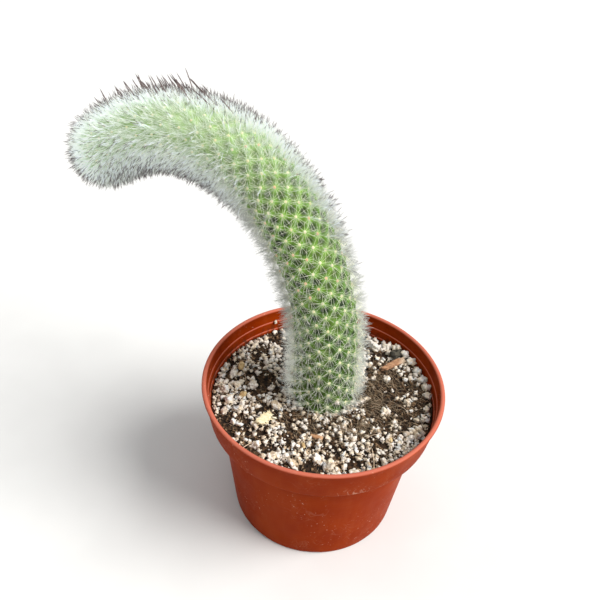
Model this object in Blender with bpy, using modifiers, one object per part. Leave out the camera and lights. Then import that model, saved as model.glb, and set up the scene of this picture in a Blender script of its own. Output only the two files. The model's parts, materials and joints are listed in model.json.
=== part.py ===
"""Potted monkey tail cactus: a furry, arching column cactus in a filled plastic nursery pot.

Metres, +Z up. The pot stands on Z = 0 with its axis on Z, and the stem arches over towards -X.
"""

import math
import random

import bmesh
import bpy
from mathutils import Euler, Matrix, Vector

# Clearance that touching pieces keep.
GAP = 0.0003

# Pot: a turned thin-walled shell with a rolled lip over a wide rim band.
POT_STEPS = 40
POT_HEIGHT = 0.0730
LIP_RADIUS = 0.0530
LIP_DEPTH = 0.0018
WALL = 0.0013
FLOOR = 0.0021
BAND_TOP_RADIUS = 0.0522
BAND_BOTTOM_RADIUS = 0.0497
BAND_BOTTOM_Z = 0.0560
BODY_TOP_RADIUS = 0.0446
BASE_RADIUS = 0.0379
CORNER = 0.0008
STEP_HEIGHTS = (0.0630, 0.0670)
STEP_WIDTH = 0.0005

# Drainage under the pot: radial grooves, each with a hole through the floor.
DRAINS = 9
DRAIN_FIRST_DEG = -79.0
GROOVE_WIDTH = 0.0075
GROOVE_DEPTH = 0.0009
GROOVE_START = 0.0190
DRAIN_HOLE_RADIUS = 0.0032
DRAIN_HOLE_AT = 0.0262

# Potting mix: it fills the pot to about 10 mm under the lip, higher at the back right.
SOIL_Z = 0.0625
SOIL_RINGS = 6
SOIL_SLOPE = (0.010, 0.006)
SOIL_SWELL = 0.00030
SOIL_RIPPLE = 0.00022

# Perlite grains: tried along a sunflower spiral, thinned out where bare peat shows.
GRAIN_TRIES = 235
GRAIN_RADIUS = (0.0013, 0.0024)
GRAIN_REACH = 1.35
GRAIN_RAISED = 0.15
GOLDEN_ANGLE = math.pi * (3 - math.sqrt(5))
BARE_PEAT_AT = (0.028, 0.004)
BARE_PEAT_RADIUS = 0.012
BARE_PEAT_SHARE = 0.75

# Stem: a column that bends from upright at the soil to hanging past level at the tip.
STEM_X = -0.0004
STEM_Y = 0.0039
STEM_LENGTH = 0.1790
STEM_BURIED = 0.0220
LEAN_END_DEG = 128.5
LEAN_POWER = 1.33
LEAN_LATE = 2.47
STEM_RADIUS = 0.0134
STEM_TIP_RADIUS = 0.0098
STEM_TAPER_POWER = 1.6

# Tubercles: low warts in upright columns, raised and sunk by turns, that crowd towards the tip.
COLUMNS = 20
ROWS = 56
ROW_CROWDING = 0.12
TIP_RINGS = 5
BURIED_RINGS = 4
RELIEF = 0.00060

# Spines: one on each wart's upper face, a second below it on every other wart, which points down
# on the lower stem, and longer ones along the crown of the arch.
SPINE_RADIUS = 0.00034
SPINE_ROOT = 0.0013
SPINE_OFFSET = 0.20
SECOND_SPINE_EVERY = 2
SECOND_POINTS_DOWN_TO = 0.45
SPINE_LENGTH = (0.0055, 0.0070)
SPINE_LEAN_DEG = (24.0, 50.0)
SPINE_JITTER_DEG = 26.0
SPINE_FROM = 0.0045
LONG_SPINE_LENGTH = (0.0090, 0.0125)
LONG_SPINE_SHARE = 0.35
CROWN_HALF_DEG = 60.0
LONG_SPINES_FROM = 0.66
LONG_SPINES_TO = 0.96

# Chips that lie on the mix: centre, length, width, thickness and turn about Z.
BARK_LARGE = {"at": (0.0281, 0.0268), "size": (0.0122, 0.0030, 0.0013), "turn": 42.3}
BARK_SMALL = {"at": (0.0023, -0.0238), "size": (0.0052, 0.0019, 0.0009), "turn": -11.5}
PALE_CHIP = {"at": (-0.0213, -0.0204), "size": (0.0074, 0.0046, 0.0017), "turn": 45.0}

PARTS_NAME = "potted_monkey_tail_cactus"


def clear_scene():
    for item in list(bpy.data.objects):
        bpy.data.objects.remove(item, do_unlink=True)


def new_collection(name):
    made = bpy.data.collections.new(name)
    bpy.context.scene.collection.children.link(made)
    return made


def new_object(name, mesh, collection):
    made = bpy.data.objects.new(name, mesh)
    collection.objects.link(made)
    return made


def mesh_from(name, bm):
    mesh = bpy.data.meshes.new(name)
    bm.to_mesh(mesh)
    bm.free()
    return mesh


def linear(srgb):
    return tuple(c / 12.92 if c <= 0.04045 else ((c + 0.055) / 1.055) ** 2.4 for c in srgb)


def material(name, srgb, roughness):
    made = bpy.data.materials.new(name)
    made.use_nodes = True
    shader = made.node_tree.nodes["Principled BSDF"]
    shader.inputs["Base Color"].default_value = (*linear(srgb), 1.0)
    shader.inputs["Roughness"].default_value = roughness
    shader.inputs["Metallic"].default_value = 0.0
    made.diffuse_color = (*linear(srgb), 1.0)
    return made


def apply_modifiers(item):
    graph = bpy.context.evaluated_depsgraph_get()
    made = bpy.data.meshes.new_from_object(item.evaluated_get(graph))
    item.modifiers.clear()
    item.data = made


def shade_round(item, degrees):
    item.data.shade_smooth()
    item.data.set_sharp_from_angle(angle=math.radians(degrees))


def turned(name, profile, collection):
    """A profile of (radius, height) points turned about Z."""
    bm = bmesh.new()
    points = [bm.verts.new((radius, 0.0, height)) for radius, height in profile]
    for first, second in zip(points, points[1:]):
        bm.edges.new((first, second))
    made = new_object(name, mesh_from(name, bm), collection)
    screw = made.modifiers.new("turned", "SCREW")
    screw.axis = "Z"
    screw.steps = POT_STEPS
    screw.render_steps = POT_STEPS
    screw.use_merge_vertices = True
    screw.merge_threshold = 0.00001
    apply_modifiers(made)
    return made


def boolean(item, operation, cutter=None, collection=None, solver="EXACT"):
    made = item.modifiers.new(operation.lower(), "BOOLEAN")
    made.operation = operation
    made.solver = solver
    if collection is None:
        made.object = cutter
    else:
        made.operand_type = "COLLECTION"
        made.collection = collection


def fuse_repeats(item, repeats):
    """Join a collection of small solids to the piece that they grow from."""
    boolean(item, "UNION", collection=repeats, solver="MANIFOLD")
    apply_modifiers(item)
    for small in list(repeats.objects):
        bpy.data.objects.remove(small, do_unlink=True)
    bpy.data.collections.remove(repeats)


def outer_radius(height):
    """The pot's outer radius: the tapering body, then the rim band that stands out over it."""
    if height < BAND_BOTTOM_Z:
        return BASE_RADIUS + (BODY_TOP_RADIUS - BASE_RADIUS) * height / BAND_BOTTOM_Z
    up = (height - BAND_BOTTOM_Z) / (POT_HEIGHT - LIP_DEPTH - BAND_BOTTOM_Z)
    return BAND_BOTTOM_RADIUS + (BAND_TOP_RADIUS - BAND_BOTTOM_RADIUS) * up


def inner_outline():
    """The inside of the pot from the floor's edge up to under the lip, as (radius, height)."""
    ledge_z = BAND_BOTTOM_Z + WALL
    points = [
        (BASE_RADIUS - WALL - CORNER, FLOOR),
        (outer_radius(FLOOR + CORNER) - WALL, FLOOR + CORNER),
        (BODY_TOP_RADIUS - WALL, ledge_z - CORNER),
        (BODY_TOP_RADIUS - WALL + CORNER, ledge_z),
        (BAND_BOTTOM_RADIUS - WALL - CORNER / 2, ledge_z + CORNER / 2),
    ]
    for step_z in STEP_HEIGHTS:
        points.append((outer_radius(step_z) - WALL - STEP_WIDTH / 2, step_z - STEP_WIDTH / 2))
        points.append((outer_radius(step_z) - WALL + STEP_WIDTH / 2, step_z))
    return points


def lip_outline():
    """The rolled lip, from the inside over the top to the outside."""
    half = (LIP_RADIUS - BAND_TOP_RADIUS + WALL) / 2
    middle_z = POT_HEIGHT - LIP_DEPTH / 2
    points = []
    for turn in range(7):
        angle = math.radians(190 - turn * 40)
        points.append(
            (LIP_RADIUS - half + half * math.cos(angle), middle_z + LIP_DEPTH / 2 * math.sin(angle))
        )
    return points


def pot_outline():
    return [
        (0.0, FLOOR),
        *inner_outline(),
        *lip_outline(),
        (BAND_TOP_RADIUS, POT_HEIGHT - LIP_DEPTH),
        (BAND_BOTTOM_RADIUS, BAND_BOTTOM_Z + CORNER),
        (BAND_BOTTOM_RADIUS - CORNER, BAND_BOTTOM_Z),
        (BODY_TOP_RADIUS + CORNER, BAND_BOTTOM_Z - CORNER / 2),
        (BODY_TOP_RADIUS, BAND_BOTTOM_Z - 2 * CORNER),
        (outer_radius(CORNER), CORNER),
        (BASE_RADIUS - CORNER / 2, 0.0),
        (0.0, 0.0),
    ]


def drain_groove():
    """A bar that reaches out past the foot of the pot."""
    bm = bmesh.new()
    bmesh.ops.create_cube(bm, size=1.0)
    length = BASE_RADIUS + WALL - GROOVE_START
    bmesh.ops.scale(bm, vec=(length, GROOVE_WIDTH, 2 * GROOVE_DEPTH), verts=bm.verts)
    bmesh.ops.translate(bm, vec=(GROOVE_START + length / 2, 0.0, 0.0), verts=bm.verts)
    return mesh_from("drain_groove", bm)


def drain_hole():
    bm = bmesh.new()
    bmesh.ops.create_cone(
        bm,
        cap_ends=True,
        segments=12,
        radius1=DRAIN_HOLE_RADIUS,
        radius2=DRAIN_HOLE_RADIUS,
        depth=4 * FLOOR,
    )
    bmesh.ops.translate(bm, vec=(DRAIN_HOLE_AT, 0.0, 0.0), verts=bm.verts)
    return mesh_from("drain_hole", bm)


def pot_material():
    return material("pot_plastic", (0.66, 0.30, 0.20), 0.48)


def make_pot(parts, cutters):
    pot = turned("pot", pot_outline(), parts)
    drains = bpy.data.collections.new("drains")
    cutters.children.link(drains)
    groove = drain_groove()
    hole = drain_hole()
    for number in range(DRAINS):
        turn = math.radians(DRAIN_FIRST_DEG + number * 360 / DRAINS)
        for mesh in (groove, hole):
            cutter = new_object(f"{mesh.name}_{number + 1}", mesh, drains)
            cutter.rotation_euler = (0.0, 0.0, turn)
            cutter.hide_render = True
            cutter.display_type = "WIRE"
    boolean(pot, "DIFFERENCE", collection=drains)
    apply_modifiers(pot)
    pot.data.materials.clear()
    pot.data.materials.append(pot_material())
    shade_round(pot, 35)
    return pot


def soil_height(x, y):
    """The gently uneven top of the mix: higher at the back right, lower along the left wall."""
    slope = SOIL_SLOPE[0] * x + SOIL_SLOPE[1] * y
    swell = SOIL_SWELL * math.sin(170 * x + 1.3) * math.cos(150 * y - 0.6)
    ripple = SOIL_RIPPLE * math.sin(320 * y + 210 * x)
    return SOIL_Z + slope + swell + ripple


def soil_outline():
    """The plug of mix, which follows the inside of the pot."""
    edge = outer_radius(SOIL_Z) - WALL - STEP_WIDTH / 2 - GAP
    top = [(edge * ring / SOIL_RINGS, SOIL_Z) for ring in range(SOIL_RINGS + 1)]
    below = [point for point in inner_outline() if point[1] < SOIL_Z - CORNER]
    side = [(radius - GAP, height + GAP) for radius, height in reversed(below)]
    return [*top, *side, (0.0, FLOOR + GAP)]


def stem_hole(cutters):
    """The plain round hole that the stem's buried end stands in."""
    bm = bmesh.new()
    radius = STEM_RADIUS + GAP
    depth = STEM_BURIED + GAP
    above = 0.01
    bmesh.ops.create_cone(
        bm, cap_ends=True, segments=2 * COLUMNS, radius1=radius, radius2=radius, depth=depth + above
    )
    made = new_object("stem_hole", mesh_from("stem_hole", bm), cutters)
    made.location = (STEM_X, STEM_Y, SOIL_Z + (above - depth) / 2)
    made.hide_render = True
    made.display_type = "WIRE"
    return made


def is_kept_clear(x, y, reach):
    """True where a grain would touch the stem, the pot's wall or a chip."""
    if math.hypot(x - STEM_X, y - STEM_Y) < STEM_RADIUS + 2 * GAP + reach:
        return True
    if math.hypot(x, y) > outer_radius(SOIL_Z) - WALL - STEP_WIDTH - GAP - reach:
        return True
    for chip in (BARK_LARGE, BARK_SMALL, PALE_CHIP):
        turn = math.radians(chip["turn"])
        dx = x - chip["at"][0]
        dy = y - chip["at"][1]
        along = abs(dx * math.cos(turn) + dy * math.sin(turn))
        across = abs(dy * math.cos(turn) - dx * math.sin(turn))
        if along < chip["size"][0] / 2 + reach + GAP and across < chip["size"][1] / 2 + reach + GAP:
            return True
    return False


def is_bare_peat(x, y):
    """The patch at the right of the stem where hardly any perlite shows."""
    return math.hypot(x - BARE_PEAT_AT[0], y - BARE_PEAT_AT[1]) < BARE_PEAT_RADIUS


def grain_mesh(name, radius, draw):
    """One puffed grain of perlite: a lump with five sides, stretched and skewed."""
    bm = bmesh.new()
    bmesh.ops.create_uvsphere(bm, u_segments=5, v_segments=3, radius=radius)
    stretch = (draw.uniform(0.9, 1.3), draw.uniform(0.75, 1.05), draw.uniform(0.75, 1.0))
    bmesh.ops.scale(bm, vec=stretch, verts=bm.verts)
    skew = Matrix.Shear("XY", 3, (draw.uniform(-0.3, 0.3), draw.uniform(-0.3, 0.3)))
    tilt = Euler((draw.uniform(-0.3, 0.3), draw.uniform(-0.3, 0.3), draw.uniform(0.0, 6.28)))
    bmesh.ops.rotate(bm, cent=(0, 0, 0), matrix=tilt.to_matrix() @ skew, verts=bm.verts)
    return mesh_from(name, bm)


def scatter_grains(grains):
    """Grains sunk into the mix to just under their middles."""
    draw = random.Random(7)
    edge = outer_radius(SOIL_Z)
    for number in range(GRAIN_TRIES):
        away = edge * math.sqrt((number + 0.5) / GRAIN_TRIES) + draw.uniform(-0.001, 0.001)
        turn = number * GOLDEN_ANGLE + draw.uniform(-0.06, 0.06)
        radius = draw.uniform(*GRAIN_RADIUS)
        x = away * math.cos(turn)
        y = away * math.sin(turn)
        if is_kept_clear(x, y, GRAIN_REACH * radius):
            continue
        if is_bare_peat(x, y) and draw.random() < BARE_PEAT_SHARE:
            continue
        name = f"grain_{number}"
        grain = new_object(name, grain_mesh(name, radius, draw), grains)
        grain.location = (x, y, soil_height(x, y) + GRAIN_RAISED * radius)


def soil_material():
    return material("potting_mix", (0.35, 0.26, 0.20), 0.95)


def make_soil(parts, cutters):
    soil = turned("soil", soil_outline(), parts)
    for vert in soil.data.vertices:
        if abs(vert.co.z - SOIL_Z) < GAP / 10:
            vert.co.z = soil_height(vert.co.x, vert.co.y)
    boolean(soil, "DIFFERENCE", cutter=stem_hole(cutters))
    apply_modifiers(soil)
    grains = new_collection("grains")
    scatter_grains(grains)
    fuse_repeats(soil, grains)
    soil.data.materials.clear()
    soil.data.materials.append(soil_material())
    return soil


def lean_at(along):
    """How far the stem leans from upright, in radians, at a share of its length."""
    share = min(max(along, 0.0), 1.0)
    early = share**LEAN_POWER
    late = (LEAN_LATE * (1.0 - share)) ** LEAN_POWER
    return math.radians(LEAN_END_DEG) * early / (early + late)


def centreline():
    """Points along the stem's middle, from the soil to the root of the rounded tip."""
    pieces = 400
    step = STEM_LENGTH / pieces
    point = Vector((STEM_X, STEM_Y, SOIL_Z))
    points = [point.copy()]
    for piece in range(pieces):
        lean = lean_at((piece + 0.5) / pieces)
        point += step * Vector((-math.sin(lean), 0.0, math.cos(lean)))
        points.append(point.copy())
    return points


def stem_frame(path, distance):
    """The middle, the way along, the outer side of the bend and the sideways way at a distance."""
    lean = lean_at(distance / STEM_LENGTH)
    along = Vector((-math.sin(lean), 0.0, math.cos(lean)))
    outside = Vector((math.cos(lean), 0.0, math.sin(lean)))
    sideways = Vector((0.0, 1.0, 0.0))
    if distance <= 0.0:
        middle = path[0] + distance * along
    elif distance >= STEM_LENGTH:
        middle = path[-1] + (distance - STEM_LENGTH) * along
    else:
        place = distance / STEM_LENGTH * (len(path) - 1)
        low = int(place)
        middle = path[low].lerp(path[min(low + 1, len(path) - 1)], place - low)
    return middle, along, outside, sideways


def stem_radius(distance):
    share = min(max(distance / STEM_LENGTH, 0.0), 1.0)
    return STEM_RADIUS + (STEM_TIP_RADIUS - STEM_RADIUS) * share**STEM_TAPER_POWER


def row_distance(row):
    """How far up the stem a row of warts is. The rows draw together towards the tip."""
    share = row / ROWS
    return STEM_LENGTH * share * (1 + ROW_CROWDING * (1 - share))


def stem_rings():
    """(distance along the stem, radius, relief) for every ring from root to tip."""
    rings = []
    for ring in range(BURIED_RINGS + 1):
        share = ring / BURIED_RINGS
        radius = STEM_RADIUS * math.sin(share * math.pi / 2) ** 0.6
        rings.append((-STEM_BURIED + 0.7 * STEM_BURIED * share**2, radius, 0.0))
    for row in range(ROWS + 1):
        distance = row_distance(row)
        rings.append((distance, stem_radius(distance), RELIEF if row else 0.0))
    for ring in range(1, TIP_RINGS + 1):
        angle = ring / TIP_RINGS * math.pi / 2
        rings.append(
            (
                STEM_LENGTH + STEM_TIP_RADIUS * math.sin(angle),
                STEM_TIP_RADIUS * math.cos(angle),
                RELIEF * math.cos(angle),
            )
        )
    return rings


def is_tubercle(ring, column):
    return (ring + column) % 2 == 0


def stem_mesh(path, rings):
    """A sphere's rings laid along the bent centreline, with every other point raised."""
    bm = bmesh.new()
    bmesh.ops.create_uvsphere(bm, u_segments=COLUMNS, v_segments=len(rings) - 1, radius=1.0)
    raised = {}
    for vert in bm.verts:
        height = min(max(vert.co.z, -1.0), 1.0)
        ring = round(math.acos(-height) / math.pi * (len(rings) - 1))
        turn = math.atan2(vert.co.y, vert.co.x)
        column = round(turn / (2 * math.pi) * COLUMNS) % COLUMNS
        distance, radius, relief = rings[ring]
        middle, along, outside, sideways = stem_frame(path, distance)
        if 0 < ring < len(rings) - 1:
            radius += relief if is_tubercle(ring, column) else -relief
            angle = column * 2 * math.pi / COLUMNS
            outward = math.cos(angle) * outside + math.sin(angle) * sideways
            middle = middle + radius * outward
            raised[vert] = is_tubercle(ring, column)
        vert.co = middle
    split_between_hollows(bm, raised)
    return mesh_from("stem", bm)


def split_between_hollows(bm, raised):
    """Split each four-sided face between its two sunk corners, so each wart is a low pyramid."""
    for face in list(bm.faces):
        if len(face.verts) != 4:
            continue
        sunk = [vert for vert in face.verts if not raised[vert]]
        if len(sunk) == 2:
            bmesh.utils.face_split(face, sunk[0], sunk[1])


def spine_mesh(name, length):
    """A three-sided needle that runs up Z, with its root below the origin."""
    bm = bmesh.new()
    bmesh.ops.create_cone(
        bm, cap_ends=True, segments=3, radius1=SPINE_RADIUS, radius2=0.0, depth=length + SPINE_ROOT
    )
    bmesh.ops.translate(bm, vec=(0.0, 0.0, (length - SPINE_ROOT) / 2), verts=bm.verts)
    return mesh_from(name, bm)


def add_spine(spines, name, root, way, length):
    spine = new_object(name, spine_mesh(name, length), spines)
    turn = way.to_track_quat("Z", "Y").to_matrix().to_4x4()
    spine.matrix_world = Matrix.Translation(root) @ turn


def between(limits, share):
    return limits[0] + (limits[1] - limits[0]) * share


def spine_way(outward, along, share, tip_turn, draw):
    """A spine points outward, and the nearer the tip the more it leans towards it."""
    lean = max(math.radians(between(SPINE_LEAN_DEG, share**2)), tip_turn)
    jitter = math.radians(SPINE_JITTER_DEG) * (1 - share / 2)
    way = math.cos(lean) * outward + math.sin(lean) * along
    way += draw.uniform(-jitter, jitter) * along.cross(outward)
    way += draw.uniform(-jitter, jitter) * along
    return way.normalized()


def spine_length(share, angle, draw):
    """Spines lengthen towards the tip, and some along the crown are about twice as long."""
    length = between(SPINE_LENGTH, share) * draw.uniform(0.85, 1.1)
    is_on_arch = LONG_SPINES_FROM < share < LONG_SPINES_TO
    is_crown = is_on_arch and math.cos(angle) > math.cos(math.radians(CROWN_HALF_DEG))
    if is_crown and draw.random() < LONG_SPINE_SHARE:
        return draw.uniform(*LONG_SPINE_LENGTH)
    return length


def grow_spines(spines, path, rings):
    """Spines on every wart above the mix, and on every other wart of the rounded tip."""
    draw = random.Random(11)
    for ring in range(BURIED_RINGS + 2, len(rings) - 1):
        distance, radius, _ = rings[ring]
        if distance < SPINE_FROM:
            continue
        share = min(distance / STEM_LENGTH, 1.0)
        tip_turn = max(distance - STEM_LENGTH, 0.0) / STEM_TIP_RADIUS * math.pi / 2
        pitch = rings[ring + 1][0] - distance
        for column in range(COLUMNS):
            is_skipped = ring > len(rings) - TIP_RINGS and column % 4 > 1
            if is_skipped or not is_tubercle(ring, column):
                continue
            has_second = (column // 2 + ring) % SECOND_SPINE_EVERY == 0 and tip_turn == 0.0
            for side in (1, -1) if has_second else (1,):
                middle, along, outside, sideways = stem_frame(path, distance + side * SPINE_OFFSET * pitch)
                angle = (column + side * SPINE_OFFSET) * 2 * math.pi / COLUMNS
                outward = math.cos(angle) * outside + math.sin(angle) * sideways
                if side < 0 and share < SECOND_POINTS_DOWN_TO:
                    along = -along
                way = spine_way(outward, along, share, tip_turn, draw)
                length = spine_length(share, angle, draw)
                root = middle + 0.98 * radius * outward
                add_spine(spines, f"spine_{ring}_{column}_{side}", root, way, length)


def stem_material():
    return material("cactus_green", (0.47, 0.60, 0.33), 0.60)


def make_stem(parts):
    path = centreline()
    rings = stem_rings()
    stem = new_object("stem", stem_mesh(path, rings), parts)
    spines = new_collection("spines")
    grow_spines(spines, path, rings)
    fuse_repeats(stem, spines)
    stem.data.materials.clear()
    stem.data.materials.append(stem_material())
    shade_round(stem, 40)
    return stem


def chip_mesh(name, size):
    """A flat splinter that narrows to one end and sags a little at both."""
    length, width, thickness = size
    bm = bmesh.new()
    bmesh.ops.create_cube(bm, size=1.0)
    long_edges = [edge for edge in bm.edges if abs(edge.verts[0].co.x - edge.verts[1].co.x) > 0.5]
    bmesh.ops.subdivide_edges(bm, edges=long_edges, cuts=3, use_grid_fill=True)
    for vert in bm.verts:
        narrow = 1.0 - 0.55 * max(-2.0 * vert.co.x, 0.0) ** 1.5 - 0.15 * max(2.0 * vert.co.x, 0.0)
        vert.co.y = vert.co.y * narrow + 0.10 * math.sin(5.0 * vert.co.x)
        if vert.co.z > 0:
            vert.co.z -= 0.8 * vert.co.x**2
    bmesh.ops.scale(bm, vec=(length, width, thickness), verts=bm.verts)
    bmesh.ops.translate(bm, vec=(0.0, 0.0, thickness / 2), verts=bm.verts)
    return mesh_from(name, bm)


def highest_soil_under(chip):
    """The highest point of the mix within a chip's outline."""
    turn = math.radians(chip["turn"])
    heights = []
    for step in range(9):
        along = chip["size"][0] * (step / 8 - 0.5)
        for side in (-0.5, 0.0, 0.5):
            across = chip["size"][1] * side
            x = chip["at"][0] + along * math.cos(turn) - across * math.sin(turn)
            y = chip["at"][1] + along * math.sin(turn) + across * math.cos(turn)
            heights.append(soil_height(x, y))
    return max(heights)


def make_chip(name, chip, look, parts):
    made = new_object(name, chip_mesh(name, chip["size"]), parts)
    made.location = (*chip["at"], highest_soil_under(chip) + GAP)
    made.rotation_euler = (0.0, 0.0, math.radians(chip["turn"]))
    bevel = made.modifiers.new("worn_edges", "BEVEL")
    bevel.width = 0.12 * chip["size"][2]
    bevel.segments = 1
    bevel.limit_method = "ANGLE"
    made.data.materials.append(look)
    return made


def bark_material():
    return material("bark", (0.62, 0.42, 0.28), 0.85)


def pale_material():
    return material("pale_wood", (0.86, 0.78, 0.58), 0.85)


clear_scene()
part_collection = new_collection(PARTS_NAME)
cutter_collection = new_collection("cutters")
make_pot(part_collection, cutter_collection)
make_soil(part_collection, cutter_collection)
make_stem(part_collection)
make_chip("bark_chip_large", BARK_LARGE, bark_material(), part_collection)
make_chip("bark_chip_small", BARK_SMALL, bark_material(), part_collection)
make_chip("pale_chip", PALE_CHIP, pale_material(), part_collection)
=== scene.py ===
import json
import math
import random

import bmesh
import bpy
from mathutils import Euler, Matrix, Vector, noise

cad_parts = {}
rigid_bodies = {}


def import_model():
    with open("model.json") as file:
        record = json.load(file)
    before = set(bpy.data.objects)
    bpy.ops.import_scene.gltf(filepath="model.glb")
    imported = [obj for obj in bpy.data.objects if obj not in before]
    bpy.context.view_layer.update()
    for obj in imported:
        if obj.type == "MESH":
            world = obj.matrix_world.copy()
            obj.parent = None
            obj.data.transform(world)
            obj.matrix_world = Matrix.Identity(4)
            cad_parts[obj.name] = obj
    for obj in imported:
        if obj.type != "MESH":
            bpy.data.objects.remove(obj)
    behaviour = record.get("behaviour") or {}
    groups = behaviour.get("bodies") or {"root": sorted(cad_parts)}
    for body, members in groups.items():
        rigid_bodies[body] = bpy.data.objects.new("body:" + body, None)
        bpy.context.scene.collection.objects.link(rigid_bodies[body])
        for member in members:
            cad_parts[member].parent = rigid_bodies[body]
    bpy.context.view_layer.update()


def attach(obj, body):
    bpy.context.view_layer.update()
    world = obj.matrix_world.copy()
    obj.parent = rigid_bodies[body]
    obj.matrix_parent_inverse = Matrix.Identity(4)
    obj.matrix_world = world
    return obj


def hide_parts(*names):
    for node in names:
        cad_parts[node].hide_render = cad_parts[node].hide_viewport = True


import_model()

# Camera
# It stands in front of the pot and a little to the right, above it, and looks down at about 39 degrees.
# It is tilted a little to one side, as a camera held by hand is.
CAMERA_AT = Vector((0.030923, -0.248528, 0.318799))
CAMERA_AIM = Vector((-0.0162, 0.0185, 0.1000))
CAMERA_UP = Vector((-0.17594, 0.60514, 0.77643))
LENS_MM = 48.0
SENSOR_MM = 36.0

looking = (CAMERA_AIM - CAMERA_AT).normalized()
rightward = looking.cross(CAMERA_UP).normalized()
upward = rightward.cross(looking)
camera_lens = bpy.data.cameras.new("camera")
camera_lens.lens = LENS_MM
camera_lens.sensor_width = SENSOR_MM
camera = bpy.data.objects.new("camera", camera_lens)
bpy.context.scene.collection.objects.link(camera)
turned = Matrix((rightward, upward, -looking)).transposed()
camera.matrix_world = Matrix.Translation(CAMERA_AT) @ turned.to_4x4()
bpy.context.scene.camera = camera

# Studio light
# One wide soft light high at the right, a wider and weaker one overhead, and an even white surround,
# which the camera sees as a paler backdrop. Colours are shown as they are, without a film look.
KEY_FROM = Vector((1.00, -0.10, 1.00))
KEY_STRENGTH = 4.2
KEY_SPREAD_DEG = 40.0
KEY_COLOUR = (1.0, 0.985, 0.955)
TOP_STRENGTH = 1.2
TOP_SPREAD_DEG = 110.0
SURROUND_COLOUR = (0.96, 0.98, 1.0, 1.0)
SURROUND_STRENGTH = 0.24
BACKDROP_STRENGTH = 0.80

key_light = bpy.data.lights.new("key", "SUN")
key_light.energy = KEY_STRENGTH
key_light.angle = math.radians(KEY_SPREAD_DEG)
key_light.color = KEY_COLOUR
key = bpy.data.objects.new("key", key_light)
bpy.context.scene.collection.objects.link(key)
key.rotation_euler = KEY_FROM.to_track_quat("Z", "Y").to_euler()
top_light = bpy.data.lights.new("top", "SUN")
top_light.energy = TOP_STRENGTH
top_light.angle = math.radians(TOP_SPREAD_DEG)
bpy.context.scene.collection.objects.link(bpy.data.objects.new("top", top_light))
surround = bpy.data.worlds.new("surround")
surround.use_nodes = True
sky = surround.node_tree
even = sky.nodes["Background"]
even.inputs["Color"].default_value = SURROUND_COLOUR
even.inputs["Strength"].default_value = SURROUND_STRENGTH
backdrop = sky.nodes.new("ShaderNodeBackground")
backdrop.inputs["Color"].default_value = SURROUND_COLOUR
backdrop.inputs["Strength"].default_value = BACKDROP_STRENGTH
seen = sky.nodes.new("ShaderNodeLightPath")
either = sky.nodes.new("ShaderNodeMixShader")
sky.links.new(seen.outputs["Is Camera Ray"], either.inputs[0])
sky.links.new(even.outputs[0], either.inputs[1])
sky.links.new(backdrop.outputs[0], either.inputs[2])
sky.links.new(either.outputs[0], sky.nodes["World Output"].inputs["Surface"])
bpy.context.scene.world = surround
bpy.context.scene.view_settings.view_transform = "Standard"

# Floor
# A plain sheet of matt white board, much larger than the view, that the pot stands on.
# It has a very faint paper tooth.
FLOOR_HALF = 3.0
FLOOR_COLOUR = (220, 220, 219)
FLOOR_TOOTH_COLOUR = (217, 217, 216)


def linear(srgb):
    """A colour given from 0 to 255 in each channel, in linear light."""
    shares = [channel / 255.0 for channel in srgb]
    return (*(s / 12.92 if s <= 0.04045 else ((s + 0.055) / 1.055) ** 2.4 for s in shares), 1.0)


def node(tree, kind, inputs=None, **settings):
    """A new node with its settings, and each of its inputs set to a value or linked to a socket."""
    made = tree.nodes.new(kind)
    for name, value in settings.items():
        setattr(made, name, value)
    for name, value in (inputs or {}).items():
        if isinstance(value, bpy.types.NodeSocket):
            tree.links.new(value, made.inputs[name])
        else:
            made.inputs[name].default_value = value
    return made


def new_material(name, specular, roughness=0.5):
    """A material of one gloss and roughness, with its tree and its shader."""
    made = bpy.data.materials.new(name)
    made.use_nodes = True
    shader = made.node_tree.nodes["Principled BSDF"]
    shader.inputs["Specular IOR Level"].default_value = specular
    shader.inputs["Roughness"].default_value = roughness
    return made, made.node_tree, shader


def new_group(name, inputs, outputs):
    """An empty node group with named inputs (name, kind, value) and outputs (name, kind)."""
    tree = bpy.data.node_groups.new(name, "ShaderNodeTree")
    for label, kind, value in inputs:
        socket = tree.interface.new_socket(label, in_out="INPUT", socket_type=kind)
        if value is not None:
            socket.default_value = value
    for label, kind in outputs:
        tree.interface.new_socket(label, in_out="OUTPUT", socket_type=kind)
    return tree, tree.nodes.new("NodeGroupInput"), tree.nodes.new("NodeGroupOutput")


def patches_group():
    """Soft-edged irregular patches from 0 to 1: how large, how ragged and how much they cover."""
    tree, start, end = new_group(
        "Patches",
        [
            ("Vector", "NodeSocketVector", None),
            ("Scale", "NodeSocketFloat", 100.0),
            ("Detail", "NodeSocketFloat", 3.0),
            ("From", "NodeSocketFloat", 0.4),
            ("To", "NodeSocketFloat", 0.6),
        ],
        [("Mask", "NodeSocketFloat")],
    )
    came = start.outputs
    seeds = {"Vector": came["Vector"], "Scale": came["Scale"], "Detail": came["Detail"]}
    cloud = node(tree, "ShaderNodeTexNoise", seeds).outputs["Fac"]
    limits = {"Value": cloud, "From Min": came["From"], "From Max": came["To"]}
    spread = node(tree, "ShaderNodeMapRange", limits, interpolation_type="SMOOTHSTEP")
    tree.links.new(spread.outputs["Result"], end.inputs["Mask"])
    return tree


PATCHES = patches_group()


def patches(tree, place, scale, detail, low, high):
    """The mask of the patches group in one material."""
    inputs = {"Vector": place, "Scale": scale, "Detail": detail, "From": low, "To": high}
    return node(tree, "ShaderNodeGroup", inputs, node_tree=PATCHES).outputs["Mask"]


def object_place(tree):
    """The point on the piece, in metres."""
    return node(tree, "ShaderNodeTexCoord").outputs["Object"]


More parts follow.
